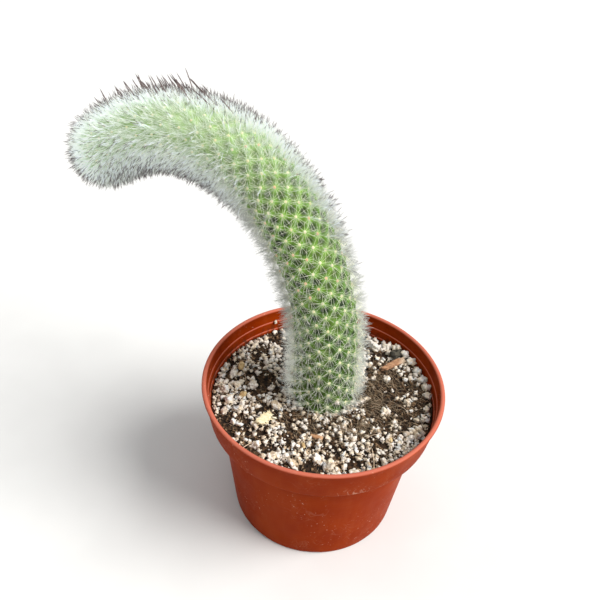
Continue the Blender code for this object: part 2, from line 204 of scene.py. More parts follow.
def blended(tree, share, first, second):
    """One colour over another by a share. A colour in numbers goes from 0 to 255."""
    first, second = (linear(colour) if isinstance(colour, tuple) else colour for colour in (first, second))
    return node(tree, "ShaderNodeMix", {0: share, 6: first, 7: second}, data_type="RGBA").outputs[2]


def link(tree, source, shader, name):
    tree.links.new(source, shader.inputs[name])


def new_piece(name, mesh, look):
    """An object of one mesh and one material, linked to the scene."""
    mesh.materials.clear()
    mesh.materials.append(look)
    made = bpy.data.objects.new(name, mesh)
    bpy.context.scene.collection.objects.link(made)
    return made


def mesh_of(name, bm):
    mesh = bpy.data.meshes.new(name)
    bm.to_mesh(mesh)
    bm.free()
    return mesh


def board_look():
    look, tree, shader = new_material("white_board", specular=0.1, roughness=0.95)
    tooth = patches(tree, object_place(tree), 30.0, 2.0, 0.3, 0.7)
    link(tree, blended(tree, tooth, FLOOR_COLOUR, FLOOR_TOOTH_COLOUR), shader, "Base Color")
    return look


floor_mesh = bmesh.new()
bmesh.ops.create_grid(floor_mesh, x_segments=8, y_segments=8, size=FLOOR_HALF)
floor = new_piece("floor", mesh_of("floor", floor_mesh), board_look())

# Pot
# A thin nursery pot moulded in one piece from terracotta-coloured plastic: a rolled lip, a wide band
# with two fine steps inside, a tapering body, and nine drain grooves with holes round the foot.
# The plastic is smooth and a little dusty, and scuffed chalky where the band meets the body.
POT_COLUMNS = 144
POT_LONGEST_RUN = 0.004
POT_HEIGHT = 0.0730
LIP_RADIUS = 0.0530
LIP_DEPTH = 0.0018
WALL = 0.0013
POT_FLOOR = 0.0021
BAND_TOP_RADIUS = 0.0522
BAND_BOTTOM_RADIUS = 0.0497
BAND_BOTTOM_Z = 0.0560
BODY_TOP_RADIUS = 0.0446
BASE_RADIUS = 0.0379
CORNER = 0.0008
STEP_HEIGHTS = (0.0630, 0.0670)
STEP_WIDTH = 0.0005
DRAINS = 9
DRAIN_FIRST_DEG = -79.0
GROOVE_WIDTH = 0.0075
GROOVE_DEPTH = 0.0009
GROOVE_START = 0.0190
GROOVE_ROUNDING = 0.0007
DRAIN_HOLE_RADIUS = 0.0032
DRAIN_HOLE_AT = 0.0262
POT_COLOUR = (149, 52, 6)
POT_DEEP_COLOUR = (137, 43, 4)
# The lip colour is a painted highlight on the lip's top, and it also draws the pale lines along the inner
# steps.
POT_LIP_COLOUR = (202, 116, 96)
POT_DUST_COLOUR = (176, 88, 48)
CHALK_COLOUR = (224, 176, 152)
CHALK_HEIGHT = 0.0535
GRIME_COLOUR = (70, 44, 30)
GRIME_HEIGHTS = (0.0665, 0.0625)


def outer_radius(height):
    """The pot's outer radius: the tapering body, then the band that stands out over it."""
    if height < BAND_BOTTOM_Z:
        return BASE_RADIUS + (BODY_TOP_RADIUS - BASE_RADIUS) * height / BAND_BOTTOM_Z
    up = (height - BAND_BOTTOM_Z) / (POT_HEIGHT - LIP_DEPTH - BAND_BOTTOM_Z)
    return BAND_BOTTOM_RADIUS + (BAND_TOP_RADIUS - BAND_BOTTOM_RADIUS) * up


def rounded(corners, steps=4):
    """A line of points (radius, height, rounding) with each corner turned into a small curve."""
    points = []
    for number, (radius, height, rounding) in enumerate(corners):
        here = Vector((radius, height))
        if rounding == 0.0 or number in (0, len(corners) - 1):
            points.append(here)
            continue
        before = Vector(corners[number - 1][:2]) - here
        after = Vector(corners[number + 1][:2]) - here
        enter = here + before.normalized() * min(rounding, before.length * 0.45)
        leave = here + after.normalized() * min(rounding, after.length * 0.45)
        for step in range(steps + 1):
            share = step / steps
            points.append((1 - share) ** 2 * enter + 2 * share * (1 - share) * here + share**2 * leave)
    return points


def lip_corners():
    """The rolled lip from the inside over the top to the outside."""
    half = (LIP_RADIUS - BAND_TOP_RADIUS + WALL) / 2
    middle_z = POT_HEIGHT - LIP_DEPTH / 2
    angles = [math.radians(200 - turn * 13.5) for turn in range(19)]
    return [
        (LIP_RADIUS - half + half * math.cos(a), middle_z + LIP_DEPTH / 2 * math.sin(a), 0.0) for a in angles
    ]


def pot_corners():
    """The pot's outline: up the inside from the floor's middle, over the lip and down the outside."""
    ledge_z = BAND_BOTTOM_Z + WALL
    corners = [
        (0.0, POT_FLOOR, 0.0),
        (BASE_RADIUS - WALL, POT_FLOOR, 0.0012),
        (BODY_TOP_RADIUS - WALL, ledge_z - CORNER, 0.0008),
        (BODY_TOP_RADIUS - WALL + CORNER, ledge_z, 0.0006),
        (BAND_BOTTOM_RADIUS - WALL, ledge_z + CORNER / 4, 0.0006),
    ]
    for step_z in STEP_HEIGHTS:
        corners.append((outer_radius(step_z) - WALL - STEP_WIDTH / 2, step_z - STEP_WIDTH / 2, 0.0001))
        corners.append((outer_radius(step_z) - WALL + STEP_WIDTH / 2, step_z, 0.0001))
    corners.extend(lip_corners())
    corners.extend(
        [
            (BAND_TOP_RADIUS, POT_HEIGHT - LIP_DEPTH - 0.0002, 0.0003),
            (BAND_BOTTOM_RADIUS, BAND_BOTTOM_Z + CORNER / 2, 0.0012),
            (BODY_TOP_RADIUS + CORNER, BAND_BOTTOM_Z - CORNER / 2, 0.0010),
            (BODY_TOP_RADIUS, BAND_BOTTOM_Z - 2 * CORNER, 0.0010),
            (BASE_RADIUS, 0.0, 0.0011),
            (0.0, 0.0, 0.0),
        ]
    )
    return corners


def with_long_runs_cut(points, longest):
    """The same line with more points on its long straight runs."""
    made = [points[0]]
    for first, second in zip(points, points[1:]):
        pieces = max(1, math.ceil((second - first).length / longest))
        made.extend(first.lerp(second, piece / pieces) for piece in range(1, pieces + 1))
    return made


def lathe(name, points, columns):
    """A line of (radius, height) points turned about Z. Points on the axis close the ends."""
    bm = bmesh.new()
    rings = []
    for radius, height in points:
        if radius < 1e-6:
            rings.append([bm.verts.new((0.0, 0.0, height))])
            continue
        angles = [2 * math.pi * column / columns for column in range(columns)]
        rings.append([bm.verts.new((radius * math.cos(a), radius * math.sin(a), height)) for a in angles])
    for low, high in zip(rings, rings[1:]):
        for column in range(columns):
            after = (column + 1) % columns
            corners = ((low, column), (low, after), (high, after), (high, column))
            bm.faces.new(dict.fromkeys(ring[place % len(ring)] for ring, place in corners))
    bmesh.ops.recalc_face_normals(bm, faces=bm.faces)
    return mesh_of(name, bm)


def applied(piece):
    """The piece with its modifiers worked into its mesh."""
    graph = bpy.context.evaluated_depsgraph_get()
    mesh = bpy.data.meshes.new_from_object(piece.evaluated_get(graph))
    piece.modifiers.clear()
    piece.data = mesh
    return piece


def drain_cutter(number):
    """A bar with rounded edges and a peg through the floor, at one drain."""
    bm = bmesh.new()
    length = BASE_RADIUS + WALL - GROOVE_START
    bar = bmesh.ops.create_cube(bm, size=1.0)["verts"]
    bmesh.ops.scale(bm, vec=(length, GROOVE_WIDTH, 2 * GROOVE_DEPTH), verts=bar)
    bmesh.ops.translate(bm, vec=(GROOVE_START + length / 2, 0.0, 0.0), verts=bar)
    bmesh.ops.bevel(bm, geom=bm.edges[:], offset=GROOVE_ROUNDING, segments=4, affect="EDGES", profile=0.5)
    sizes = {"radius1": DRAIN_HOLE_RADIUS, "radius2": DRAIN_HOLE_RADIUS, "depth": 4 * POT_FLOOR}
    peg = bmesh.ops.create_cone(bm, cap_ends=True, segments=32, **sizes)["verts"]
    bmesh.ops.translate(bm, vec=(DRAIN_HOLE_AT, 0.0, 0.0), verts=peg)
    turn = Matrix.Rotation(math.radians(DRAIN_FIRST_DEG + number * 360 / DRAINS), 3, "Z")
    bmesh.ops.rotate(bm, cent=(0, 0, 0), matrix=turn, verts=bm.verts)
    return bpy.data.objects.new(f"drain_{number + 1}", mesh_of(f"drain_{number + 1}", bm))


def maths(tree, operation, first, second=0.0):
    return node(tree, "ShaderNodeMath", {0: first, 1: second}, operation=operation).outputs[0]


def times(tree, first, second):
    return maths(tree, "MULTIPLY", first, second)


def vectors(tree, operation, first, second):
    return node(tree, "ShaderNodeVectorMath", {0: first, 1: second}, operation=operation)


def off(tree, value, middle):
    """How far a value is from a middle one, either way."""
    return maths(tree, "ABSOLUTE", maths(tree, "SUBTRACT", value, middle))


def ramp(tree, value, low, high):
    """0 at one value, 1 at the other, and straight between."""
    return node(tree, "ShaderNodeMapRange", {"Value": value, "From Min": low, "From Max": high}).outputs[0]


def along_axis(tree, place, axis):
    return node(tree, "ShaderNodeSeparateXYZ", {0: place}).outputs[axis]


def squeezed(tree, place, scale):
    """The place with its axes scaled, so that a pattern is drawn out along one of them."""
    return node(tree, "ShaderNodeMapping", {"Vector": place, "Scale": scale}).outputs[0]


def noisy(tree, place, scale, detail, distortion=0.0):
    inputs = {"Vector": place, "Scale": scale, "Detail": detail, "Distortion": distortion}
    return node(tree, "ShaderNodeTexNoise", inputs).outputs["Fac"]


def bumped(tree, height, strength, depth):
    """A surface normal from a height."""
    inputs = {"Height": height, "Strength": strength, "Distance": depth}
    return node(tree, "ShaderNodeBump", inputs).outputs["Normal"]


def pot_look():
    """Plastic with its lip's top paled by a painted highlight, pale lines along the steps, chalky scuffs by
    the band, specks, and grime inside.
    """
    look, tree, shader = new_material("terracotta_plastic", specular=0.02)
    place = object_place(tree)
    height = along_axis(tree, place, "Z")
    normal = node(tree, "ShaderNodeNewGeometry").outputs["Normal"]
    across = vectors(tree, "MULTIPLY", place, (1.0, 1.0, 0.0)).outputs[0]
    facing = vectors(tree, "DOT_PRODUCT", normal, across).outputs["Value"]
    inside = maths(tree, "LESS_THAN", facing, -0.01)
    outside = maths(tree, "SUBTRACT", 1.0, inside)

    colour = blended(tree, patches(tree, place, 55.0, 3.0, 0.3, 0.7), POT_COLOUR, POT_DEEP_COLOUR)
    streaks = patches(tree, squeezed(tree, place, (1.0, 1.0, 0.06)), 330.0, 3.0, 0.45, 0.75)
    colour = blended(tree, times(tree, streaks, 0.10), colour, POT_DUST_COLOUR)

    # Painted highlight: the top of the lip is paled towards the lip colour.
    lip = ramp(tree, height, POT_HEIGHT - LIP_DEPTH / 2, POT_HEIGHT - 0.0002)
    colour = blended(tree, times(tree, lip, 0.74), colour, POT_LIP_COLOUR)
    # Pale lines along the two inner steps, in the lip colour.
    for step_z in STEP_HEIGHTS:
        on_step = ramp(tree, off(tree, height, step_z), 0.00026, 0.00006)
        step_line = times(tree, on_step, times(tree, inside, 0.7))
        colour = blended(tree, step_line, colour, POT_LIP_COLOUR)

    thin = ramp(tree, off(tree, noisy(tree, place, 120.0, 3.0, 1.2), 0.5), 0.016, 0.003)
    broken = patches(tree, place, 45.0, 2.0, 0.46, 0.60)
    by_band = times(tree, ramp(tree, off(tree, height, CHALK_HEIGHT), 0.010, 0.001), 0.9)
    zone = times(tree, maths(tree, "ADD", by_band, 0.10), outside)
    chalk = times(tree, times(tree, thin, broken), zone)
    colour = blended(tree, times(tree, chalk, 0.65), colour, CHALK_COLOUR)

    specks = patches(tree, place, 900.0, 1.0, 0.70, 0.76)
    speck_zone = patches(tree, place, 40.0, 1.0, 0.48, 0.62)
    colour = blended(tree, times(tree, times(tree, specks, speck_zone), 0.55), colour, CHALK_COLOUR)

    near_mix = times(tree, ramp(tree, height, *GRIME_HEIGHTS), inside)
    grime = times(tree, patches(tree, place, 420.0, 4.0, 0.42, 0.62), near_mix)
    colour = blended(tree, times(tree, grime, 0.75), colour, GRIME_COLOUR)
    link(tree, colour, shader, "Base Color")

    matt = maths(tree, "ADD", times(tree, maths(tree, "MAXIMUM", chalk, grime), 0.35), 0.40)
    cloudy = times(tree, patches(tree, place, 70.0, 3.0, 0.3, 0.7), 0.12)
    link(tree, maths(tree, "ADD", matt, cloudy), shader, "Roughness")
    mould_marks = noisy(tree, squeezed(tree, place, (0.02, 0.02, 1.0)), 900.0, 1.0)
    surface = maths(tree, "ADD", noisy(tree, place, 1500.0, 2.0), times(tree, mould_marks, 1.5))
    link(tree, bumped(tree, surface, 0.20, 0.00012), shader, "Normal")
    return look


pot_points = with_long_runs_cut(rounded(pot_corners()), POT_LONGEST_RUN)
pot = new_piece("pot_shell", lathe("pot_shell", pot_points, POT_COLUMNS), pot_look())
drains = bpy.data.collections.new("drains")
bpy.context.scene.collection.children.link(drains)
for drain in range(DRAINS):
    drains.objects.link(drain_cutter(drain))
cut = pot.modifiers.new("drains", "BOOLEAN")
cut.operation = "DIFFERENCE"
cut.solver = "EXACT"
cut.operand_type = "COLLECTION"
cut.collection = drains
applied(pot)
for cutter in list(drains.objects):
    bpy.data.objects.remove(cutter, do_unlink=True)
bpy.data.collections.remove(drains)
pot.data.shade_smooth()
pot.data.set_sharp_from_angle(angle=math.radians(40))
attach(pot, "root")
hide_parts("pot")

# Potting mix
# A plug of dark damp peat that fills the pot to about 10 mm under the lip and closes round the stem.
# Its top is crumbly, a little higher at the back right and lower along the left wall.
GAP = 0.0003
SOIL_Z = 0.0625
SOIL_COLUMNS = 150
SOIL_RINGS = 62
MOUND_AT = (0.034, 0.037)
MOUND_HEIGHT = 0.0022
MOUND_REACH = 0.009
LUMP_HEIGHT = 0.0006
CRUMB_HEIGHT = 0.0004
SOIL_COLOUR = (58, 42, 30)
SOIL_DARK_COLOUR = (18, 13, 9)
SOIL_DRY_COLOUR = (96, 72, 50)
SOIL_EDGE = outer_radius(SOIL_Z) - WALL - STEP_WIDTH / 2 - GAP


def soil_height(x, y):
    """The gently uneven top of the mix."""
    slope = 0.010 * x + 0.006 * y
    swell = 0.00030 * math.sin(170 * x + 1.3) * math.cos(150 * y - 0.6)
    ripple = 0.00022 * math.sin(320 * y + 210 * x)
    from_mound = (x - MOUND_AT[0]) ** 2 + (y - MOUND_AT[1]) ** 2
    mound = MOUND_HEIGHT * math.exp(-from_mound / MOUND_REACH**2)
    return SOIL_Z + slope + swell + ripple + mound


def crumbly_height(x, y):
    """The top of the mix with its crumbs."""
    lumps = noise.noise(Vector((x, y, 0.3)) * 420.0) * LUMP_HEIGHT
    crumbs = noise.noise(Vector((x, y, 0.7)) * 1100.0) * CRUMB_HEIGHT
    return soil_height(x, y) + lumps + crumbs - CRUMB_HEIGHT


def mix_mesh():
    """The plug of mix: a crumbled top, then sides and a bottom that follow the inside of the pot."""
    top = [(SOIL_EDGE * ring / SOIL_RINGS, SOIL_Z) for ring in range(SOIL_RINGS + 1)]
    side = [
        (BODY_TOP_RADIUS - WALL - GAP, BAND_BOTTOM_Z),
        (BASE_RADIUS - WALL - CORNER, POT_FLOOR + CORNER + GAP),
        (BASE_RADIUS - WALL - 2 * CORNER, POT_FLOOR + GAP),
        (0.0, POT_FLOOR + GAP),
    ]
    ledge = [(BAND_BOTTOM_RADIUS - WALL - 2 * GAP, BAND_BOTTOM_Z + WALL + 2 * GAP)]
    mesh = lathe("mix", [*top, *ledge, *side], SOIL_COLUMNS)
    for vert in mesh.vertices:
        if vert.co.z > SOIL_Z - GAP:
            vert.co.z = crumbly_height(vert.co.x, vert.co.y)
    mesh.shade_smooth()
    return mesh


def tints_group():
    """Three chances from 0 to 1 that stay the same within each small cell, so each crumb has its own."""
    tree, start, end = new_group(
        "Grain tints",
        [("Vector", "NodeSocketVector", None), ("Scale", "NodeSocketFloat", 700.0)],
        [("First", "NodeSocketFloat"), ("Second", "NodeSocketFloat"), ("Third", "NodeSocketFloat")],
    )
    seeds = {"Vector": start.outputs["Vector"], "Scale": start.outputs["Scale"]}
    cells = node(tree, "ShaderNodeTexVoronoi", seeds)
    chances = node(tree, "ShaderNodeSeparateColor", {"Color": cells.outputs["Color"]})
    for label, channel in (("First", "Red"), ("Second", "Green"), ("Third", "Blue")):
        tree.links.new(chances.outputs[channel], end.inputs[label])
    return tree


TINTS = tints_group()


def tints(tree, place, scale):
    """The three chances of the tints group in one material."""
    made = node(tree, "ShaderNodeGroup", {"Vector": place, "Scale": scale}, node_tree=TINTS)
    return made.outputs["First"], made.outputs["Second"], made.outputs["Third"]


def above(tree, value, low, high, share=1.0):
    """How far a value is above a limit, softened, times a share."""
    return times(tree, ramp(tree, value, low, high), share)


def peat_look(name, colour, dark, dry):
    """Crumbly matter in three tones, matt and gritty."""
    look, tree, shader = new_material(name, specular=0.25, roughness=0.95)
    place = object_place(tree)
    base = blended(tree, patches(tree, place, 500.0, 5.0, 0.35, 0.65), colour, dark)
    first, second, _ = tints(tree, place, 900.0)
    base = blended(tree, above(tree, first, 0.62, 0.70, 0.55), base, dry)
    base = blended(tree, above(tree, second, 0.66, 0.72, 0.70), base, dark)
    link(tree, base, shader, "Base Color")
    link(tree, bumped(tree, noisy(tree, place, 2200.0, 4.0), 0.8, 0.0003), shader, "Normal")
    return look


damp_look = peat_look("damp_peat", SOIL_COLOUR, SOIL_DARK_COLOUR, SOIL_DRY_COLOUR)
mix = new_piece("mix", mix_mesh(), damp_look)
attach(mix, "root")
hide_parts("soil")

# Peat crumbs
# Loose crumbs of peat and rotted bark, 0.5 to 2 mm across, which lie all over the mix.
# They are dark brown, and drier and paler where the light catches them.
STEM_X = -0.0004
STEM_Y = 0.0039
STEM_RADIUS = 0.0134
CRUMBS = 4600
CRUMB_RADIUS = (0.00028, 0.00090)
CRUMB_COLOUR = (98, 73, 52)
CRUMB_DARK_COLOUR = (22, 16, 11)
CRUMB_DRY_COLOUR = (164, 134, 102)


def between(limits, share):
    return limits[0] + (limits[1] - limits[0]) * share


def ball_shape(fineness):
    """The points and faces of a ball of triangles, the start of every lump."""
    bm = bmesh.new()
    bmesh.ops.create_icosphere(bm, subdivisions=fineness, radius=1.0)
    bm.verts.ensure_lookup_table()
    points = [vert.co.copy() for vert in bm.verts]
    faces = [[vert.index for vert in face.verts] for face in bm.faces]
    bm.free()
    return points, faces


BALLS = {fineness: ball_shape(fineness) for fineness in (1, 2, 3)}


def pressed(point):
    """The point, moved back to the pot's inner wall if it lies past it."""
    most = outer_radius(max(point.z, SOIL_Z)) - WALL - STEP_WIDTH / 2
    away = math.hypot(point.x, point.y)
    if away > most:
        point.x *= most / away
        point.y *= most / away
    return point


def lumps_mesh(name, lumps):
    """Irregular lumps (centre, radii, turn, fineness, roughness, seed): balls stretched and dented."""
    points = []
    faces = []
    for centre, radii, turn, fineness, roughness, seed in lumps:
        ball_points, ball_faces = BALLS[fineness]
        spin = turn.to_matrix() @ Matrix.Diagonal(radii)
        away = Vector((seed * 1.37, seed * 0.71, -seed * 0.93))
        first = len(points)
        for point in ball_points:
            dent = 1.0 + roughness * (noise.noise(point * 1.6 + away) + 0.4 * noise.noise(point * 3.7 - away))
            points.append(pressed(centre + spin @ (point * dent)))
        faces.extend([first + corner for corner in face] for face in ball_faces)
    mesh = bpy.data.meshes.new(name)
    mesh.from_pydata(points, [], faces)
    mesh.shade_smooth()
    return mesh


def any_turn(draw):
    return Euler((draw.uniform(-0.6, 0.6), draw.uniform(-0.6, 0.6), draw.uniform(0.0, 6.28)))


def spot_on_mix(draw, reach):
    """A random spot on the mix, clear of the stem and the wall by a grain's reach."""
    while True:
        away = (SOIL_EDGE - reach) * math.sqrt(draw.random())
        turn = draw.uniform(0.0, 2 * math.pi)
        x = away * math.cos(turn)
        y = away * math.sin(turn)
        if math.hypot(x - STEM_X, y - STEM_Y) > STEM_RADIUS + 0.4 * reach:
            return x, y


def crumbs_mesh():
    draw = random.Random(21)
    lumps = []
    for number in range(CRUMBS):
        radius = between(CRUMB_RADIUS, draw.random() ** 2)
        x, y = spot_on_mix(draw, radius)
        centre = Vector((x, y, crumbly_height(x, y) + draw.uniform(0.0, 0.6) * radius))
        radii = [radius * draw.uniform(*limits) for limits in ((0.9, 1.6), (0.5, 1.0), (0.5, 0.9))]
        lumps.append((centre, radii, any_turn(draw), 1, 0.7, number))
    mesh = lumps_mesh("peat_crumbs", lumps)
    mesh.shade_flat()
    return mesh


dry_look = peat_look("dry_peat", CRUMB_COLOUR, CRUMB_DARK_COLOUR, CRUMB_DRY_COLOUR)
crumbs = new_piece("peat_crumbs", crumbs_mesh(), dry_look)
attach(crumbs, "root")

# Perlite
# Puffed volcanic grains, matt, pitted and cream-white, from dust to about 5 mm, loose on the mix.
# They crowd along the wall and at the front, and thin out over bare patches of peat. One is caught
# in the spines at the foot of the stem, and one sticks to the pot's inner wall at the back.
GRAINS = 3300
GRAIN_RADIUS = (0.00030, 0.00125)
GRAIN_SIZE_POWER = 1.9
CLUSTERS_PER_METRE = 130.0
GRAIN_CELL = 0.004
GRAIN_TRIES = 4
GRAIN_NEAREST = 0.86
LARGE_GRAIN_FROM = 0.0013
SMALL_GRAIN_TO = 0.00050
# The dust on the grains thins from front to back. The cleaner, paler grains at the back are painted light.
DUST_IN_FRONT = 0.78
LESS_DUST_BEHIND_AS_PAINTED_LIGHT = 0.56
DUST_FADE_AS_PAINTED_LIGHT_OVER = (-0.035, 0.030)
# x, y, radius, and the share of the grains that stay
BARE_PATCHES = (
    (0.0325, 0.0070, 0.0150, 0.10),
    (0.0270, -0.0060, 0.0100, 0.16),
    (0.0190, 0.0060, 0.0075, 0.20),
    (0.0240, 0.0200, 0.0070, 0.30),
    (-0.0310, 0.0040, 0.0065, 0.25),
    (-0.0265, -0.0275, 0.0085, 0.15),
    (-0.0070, -0.0180, 0.0085, 0.25),
    (0.0080, -0.0180, 0.0080, 0.25),
    (0.0180, -0.0170, 0.0060, 0.45),
    (-0.0200, 0.0020, 0.0060, 0.35),
    (0.0060, -0.0345, 0.0190, 0.62),
)
# x, y, radius
LARGE_GRAINS = (
    (0.0440, -0.0085, 0.0016),
    (0.0415, -0.0103, 0.0017),
    (0.0437, -0.0120, 0.0015),
    (0.0412, -0.0139, 0.0014),
    (0.0389, -0.0121, 0.0013),
    (0.0455, -0.0098, 0.0012),
    (0.0286, -0.0024, 0.0019),
    (0.0265, 0.0182, 0.0016),
    (0.0373, 0.0056, 0.0015),
    (0.0183, 0.0376, 0.0023),
    (0.0240, 0.0395, 0.0021),
    (0.0285, 0.0383, 0.0021),
    (0.0326, 0.0350, 0.0021),
    (0.0363, 0.0311, 0.0021),
    (0.0395, 0.0268, 0.0019),
    (0.0423, 0.0222, 0.0020),
    (0.0446, 0.0171, 0.0018),
    (0.0455, 0.0120, 0.0017),
    (0.0460, 0.0040, 0.0017),
    (0.0455, -0.0030, 0.0016),
    (-0.0390, -0.0123, 0.0020),
    (-0.0425, -0.0070, 0.0020),
    (-0.0379, -0.0030, 0.0019),
    (-0.0314, -0.0012, 0.0019),
    (-0.0420, 0.0040, 0.0017),
    (-0.0184, -0.0109, 0.0018),
    (-0.0395, -0.0190, 0.0017),
    (-0.0330, -0.0130, 0.0015),
    (0.0106, -0.0375, 0.0022),
    (0.0050, -0.0360, 0.0020),
    (0.0210, -0.0385, 0.0019),
    (-0.0040, -0.0405, 0.0020),
    (-0.0135, -0.0380, 0.0019),
    (-0.0215, -0.0345, 0.0018),
    (0.0320, -0.0300, 0.0017),
)
STUCK_GRAINS = (((0.0078, -0.0088, 0.0699), 0.0012), ((-0.0309, 0.0385, 0.0672), 0.0009))
PERLITE_COLOURS = {
    "white": (240, 232, 222),
    "cream": (228, 213, 190),
    "bluish": (220, 226, 230),
    "stained": (190, 164, 132),
    "dust": (132, 106, 82),
}


def share_kept(x, y):
    """How many of the grains stay at a spot: few on the bare patches, and fewer between clusters."""
    kept = 1.0
    for patch_x, patch_y, radius, share in BARE_PATCHES:
        away = math.hypot(x - patch_x, y - patch_y) / radius
        edge = min(max((away - 0.75) / 0.5, 0.0), 1.0)
        kept = min(kept, share + (1.0 - share) * edge)
    large = noise.noise(Vector((x, y, 0.11)) * CLUSTERS_PER_METRE)
    small = noise.noise(Vector((x, y, 0.57)) * 2.3 * CLUSTERS_PER_METRE)
    return kept * min(max(0.47 + 1.7 * (large + 0.5 * small), 0.05), 1.0)


def grain_spots():
    """The large grains first, then smaller and smaller ones in the room between them."""
    draw = random.Random(5)
    placed = list(LARGE_GRAINS)
    sizes = [between(GRAIN_RADIUS, draw.random() ** GRAIN_SIZE_POWER) for _ in range(GRAINS)]
    cells = {}

    def cell_of(x, y):
        return math.floor(x / GRAIN_CELL), math.floor(y / GRAIN_CELL)

    def is_free(x, y, radius):
        column, row = cell_of(x, y)
        for near in ((column + right, row + up) for right in (-1, 0, 1) for up in (-1, 0, 1)):
            for other_x, other_y, other in cells.get(near, ()):
                if math.hypot(x - other_x, y - other_y) < GRAIN_NEAREST * (radius + other):
                    return False
        return True

    for spot in placed:
        cells.setdefault(cell_of(spot[0], spot[1]), []).append(spot)
    for radius in sorted(sizes, reverse=True):
        for _ in range(GRAIN_TRIES):
            x, y = spot_on_mix(draw, radius)
            if draw.random() < share_kept(x, y) and is_free(x, y, radius):
                placed.append((x, y, radius))
                cells.setdefault(cell_of(x, y), []).append((x, y, radius))
                break
    return placed


def perlite_mesh():
    """The stuck grains, then the grains of the mix, with more points on the larger ones."""
    draw = random.Random(8)
    lumps = []
    for spot, size in STUCK_GRAINS:
        lumps.append((Vector(spot), (size, 0.7 * size, 0.6 * size), any_turn(draw), 3, 0.9, 7))
    for number, (x, y, radius) in enumerate(grain_spots()):
        centre = Vector((x, y, soil_height(x, y) + draw.uniform(0.15, 0.55) * radius))
        radii = [radius * draw.uniform(*limits) for limits in ((0.95, 1.25), (0.8, 1.05), (0.7, 0.95))]
        fineness = 3 if radius > LARGE_GRAIN_FROM else 2 if radius > SMALL_GRAIN_TO else 1
        dents = 0.85 if fineness == 3 else 1.20
        lumps.append((centre, radii, any_turn(draw), fineness, dents, 100 + number))
    return lumps_mesh("perlite", lumps)


def perlite_look():
    """Each grain white, cream or bluish, with peat dust and stains that thin out towards the back, which is
    painted light on the grains behind.
    """
    look, tree, shader = new_material("perlite", specular=0.2, roughness=0.9)
    place = object_place(tree)
    first, second, third = tints(tree, place, 560.0)
    # Painted light: dust and stains fade towards the back, so the grains there are paler.
    back = ramp(tree, along_axis(tree, place, "Y"), *DUST_FADE_AS_PAINTED_LIGHT_OVER)
    dust = maths(tree, "SUBTRACT", DUST_IN_FRONT, times(tree, back, LESS_DUST_BEHIND_AS_PAINTED_LIGHT))
    dusty = times(tree, patches(tree, place, 900.0, 4.0, 0.51, 0.68), dust)
    shares = {
        "cream": above(tree, first, 0.45, 0.75),
        "bluish": above(tree, second, 0.80, 0.88, 0.7),
        "stained": above(tree, third, 0.72, 0.80, dust),
        "dust": dusty,
    }
    colour = PERLITE_COLOURS["white"]
    for tone, share in shares.items():
        colour = blended(tree, share, colour, PERLITE_COLOURS[tone])
    link(tree, colour, shader, "Base Color")
    pits = node(tree, "ShaderNodeTexVoronoi", {"Vector": place, "Scale": 1900.0}).outputs["Distance"]
    rough = noisy(tree, place, 3000.0, 3.0)
    link(tree, bumped(tree, maths(tree, "ADD", pits, rough), 0.7, 0.00022), shader, "Normal")
    return look


perlite = new_piece("perlite", perlite_mesh(), perlite_look())
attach(perlite, "root")

# Bark and wood chips
# Three flat splinters lie on the mix: a long brown one at the back right whose right end is paler,
# a small orange-brown one at the front, and a broken cream-coloured one at the left.

# where it lies, its size, its turn in degrees, and how ragged it is
CHIPS = {
    "bark_chip_large": ((0.0281, 0.0268), (0.0122, 0.0030, 0.0013), 42.3, 0.5),
    "bark_chip_small": ((0.0023, -0.0238), (0.0052, 0.0019, 0.0009), -11.5, 0.4),
    "pale_chip": ((-0.0213, -0.0204), (0.0074, 0.0046, 0.0017), 45.0, 0.7),
}


def chip_mesh(name, size, raggedness, seed):
    """A flat splinter with fibrous grooves along it and broken ends."""
    length, width, thickness = size
    bm = bmesh.new()
    bmesh.ops.create_cube(bm, size=1.0)
    bmesh.ops.subdivide_edges(bm, edges=bm.edges[:], cuts=15, use_grid_fill=True)
    for vert in bm.verts:
        along, across, up = vert.co
        narrow = 1.0 - 0.55 * max(-2.0 * along, 0.0) ** 1.5 - 0.15 * max(2.0 * along, 0.0)
        torn = raggedness * noise.noise(Vector((along * 9.0, seed, up * 2.0)))
        end = raggedness * 0.35 * noise.noise(Vector((across * 11.0, seed + 4.0, up * 3.0)))
        if abs(along) > 0.4:
            along += end
        groove = 0.10 * noise.noise(Vector((along * 2.5, across * 16.0, seed)))
        sunk = 0.55 * along**2 + 0.5 * across**2
        up = up * (1.0 - sunk) + (groove if up > 0 else 0.0)
        across = across * (narrow + torn) + 0.10 * math.sin(5.0 * along)
        vert.co = (along * length, across * width, up * thickness)
    low = min(vert.co.z for vert in bm.verts)
    bmesh.ops.translate(bm, vec=(0.0, 0.0, -low), verts=bm.verts)
    for face in bm.faces:
        face.smooth = True
    return mesh_of(name, bm)


def highest_mix_under(at, size, turn):
    """The highest point of the mix within a chip's outline."""
    heights = []
    for step in range(9):
        along = size[0] * (step / 8 - 0.5)
        for side in (-0.5, 0.0, 0.5):
            across = size[1] * side
            x = at[0] + along * math.cos(turn) - across * math.sin(turn)
            y = at[1] + along * math.sin(turn) + across * math.cos(turn)
            heights.append(soil_height(x, y))
    return max(heights)


def wood_look(name, colour, dark, end_colour):
    """Fibrous wood: streaks along the splinter and one paler end."""
    look, tree, shader = new_material(name, specular=0.3, roughness=0.85)
    place = node(tree, "ShaderNodeTexCoord").outputs["Generated"]
    stretched = squeezed(tree, place, (1.2, 9.0, 3.0))
    base = blended(tree, patches(tree, stretched, 3.0, 5.0, 0.38, 0.62), colour, dark)
    end = ramp(tree, along_axis(tree, place, "X"), 0.66, 0.86)
    link(tree, blended(tree, times(tree, end, 0.8), base, end_colour), shader, "Base Color")
    link(tree, bumped(tree, noisy(tree, stretched, 6.0, 5.0), 0.8, 0.0003), shader, "Normal")
    return look


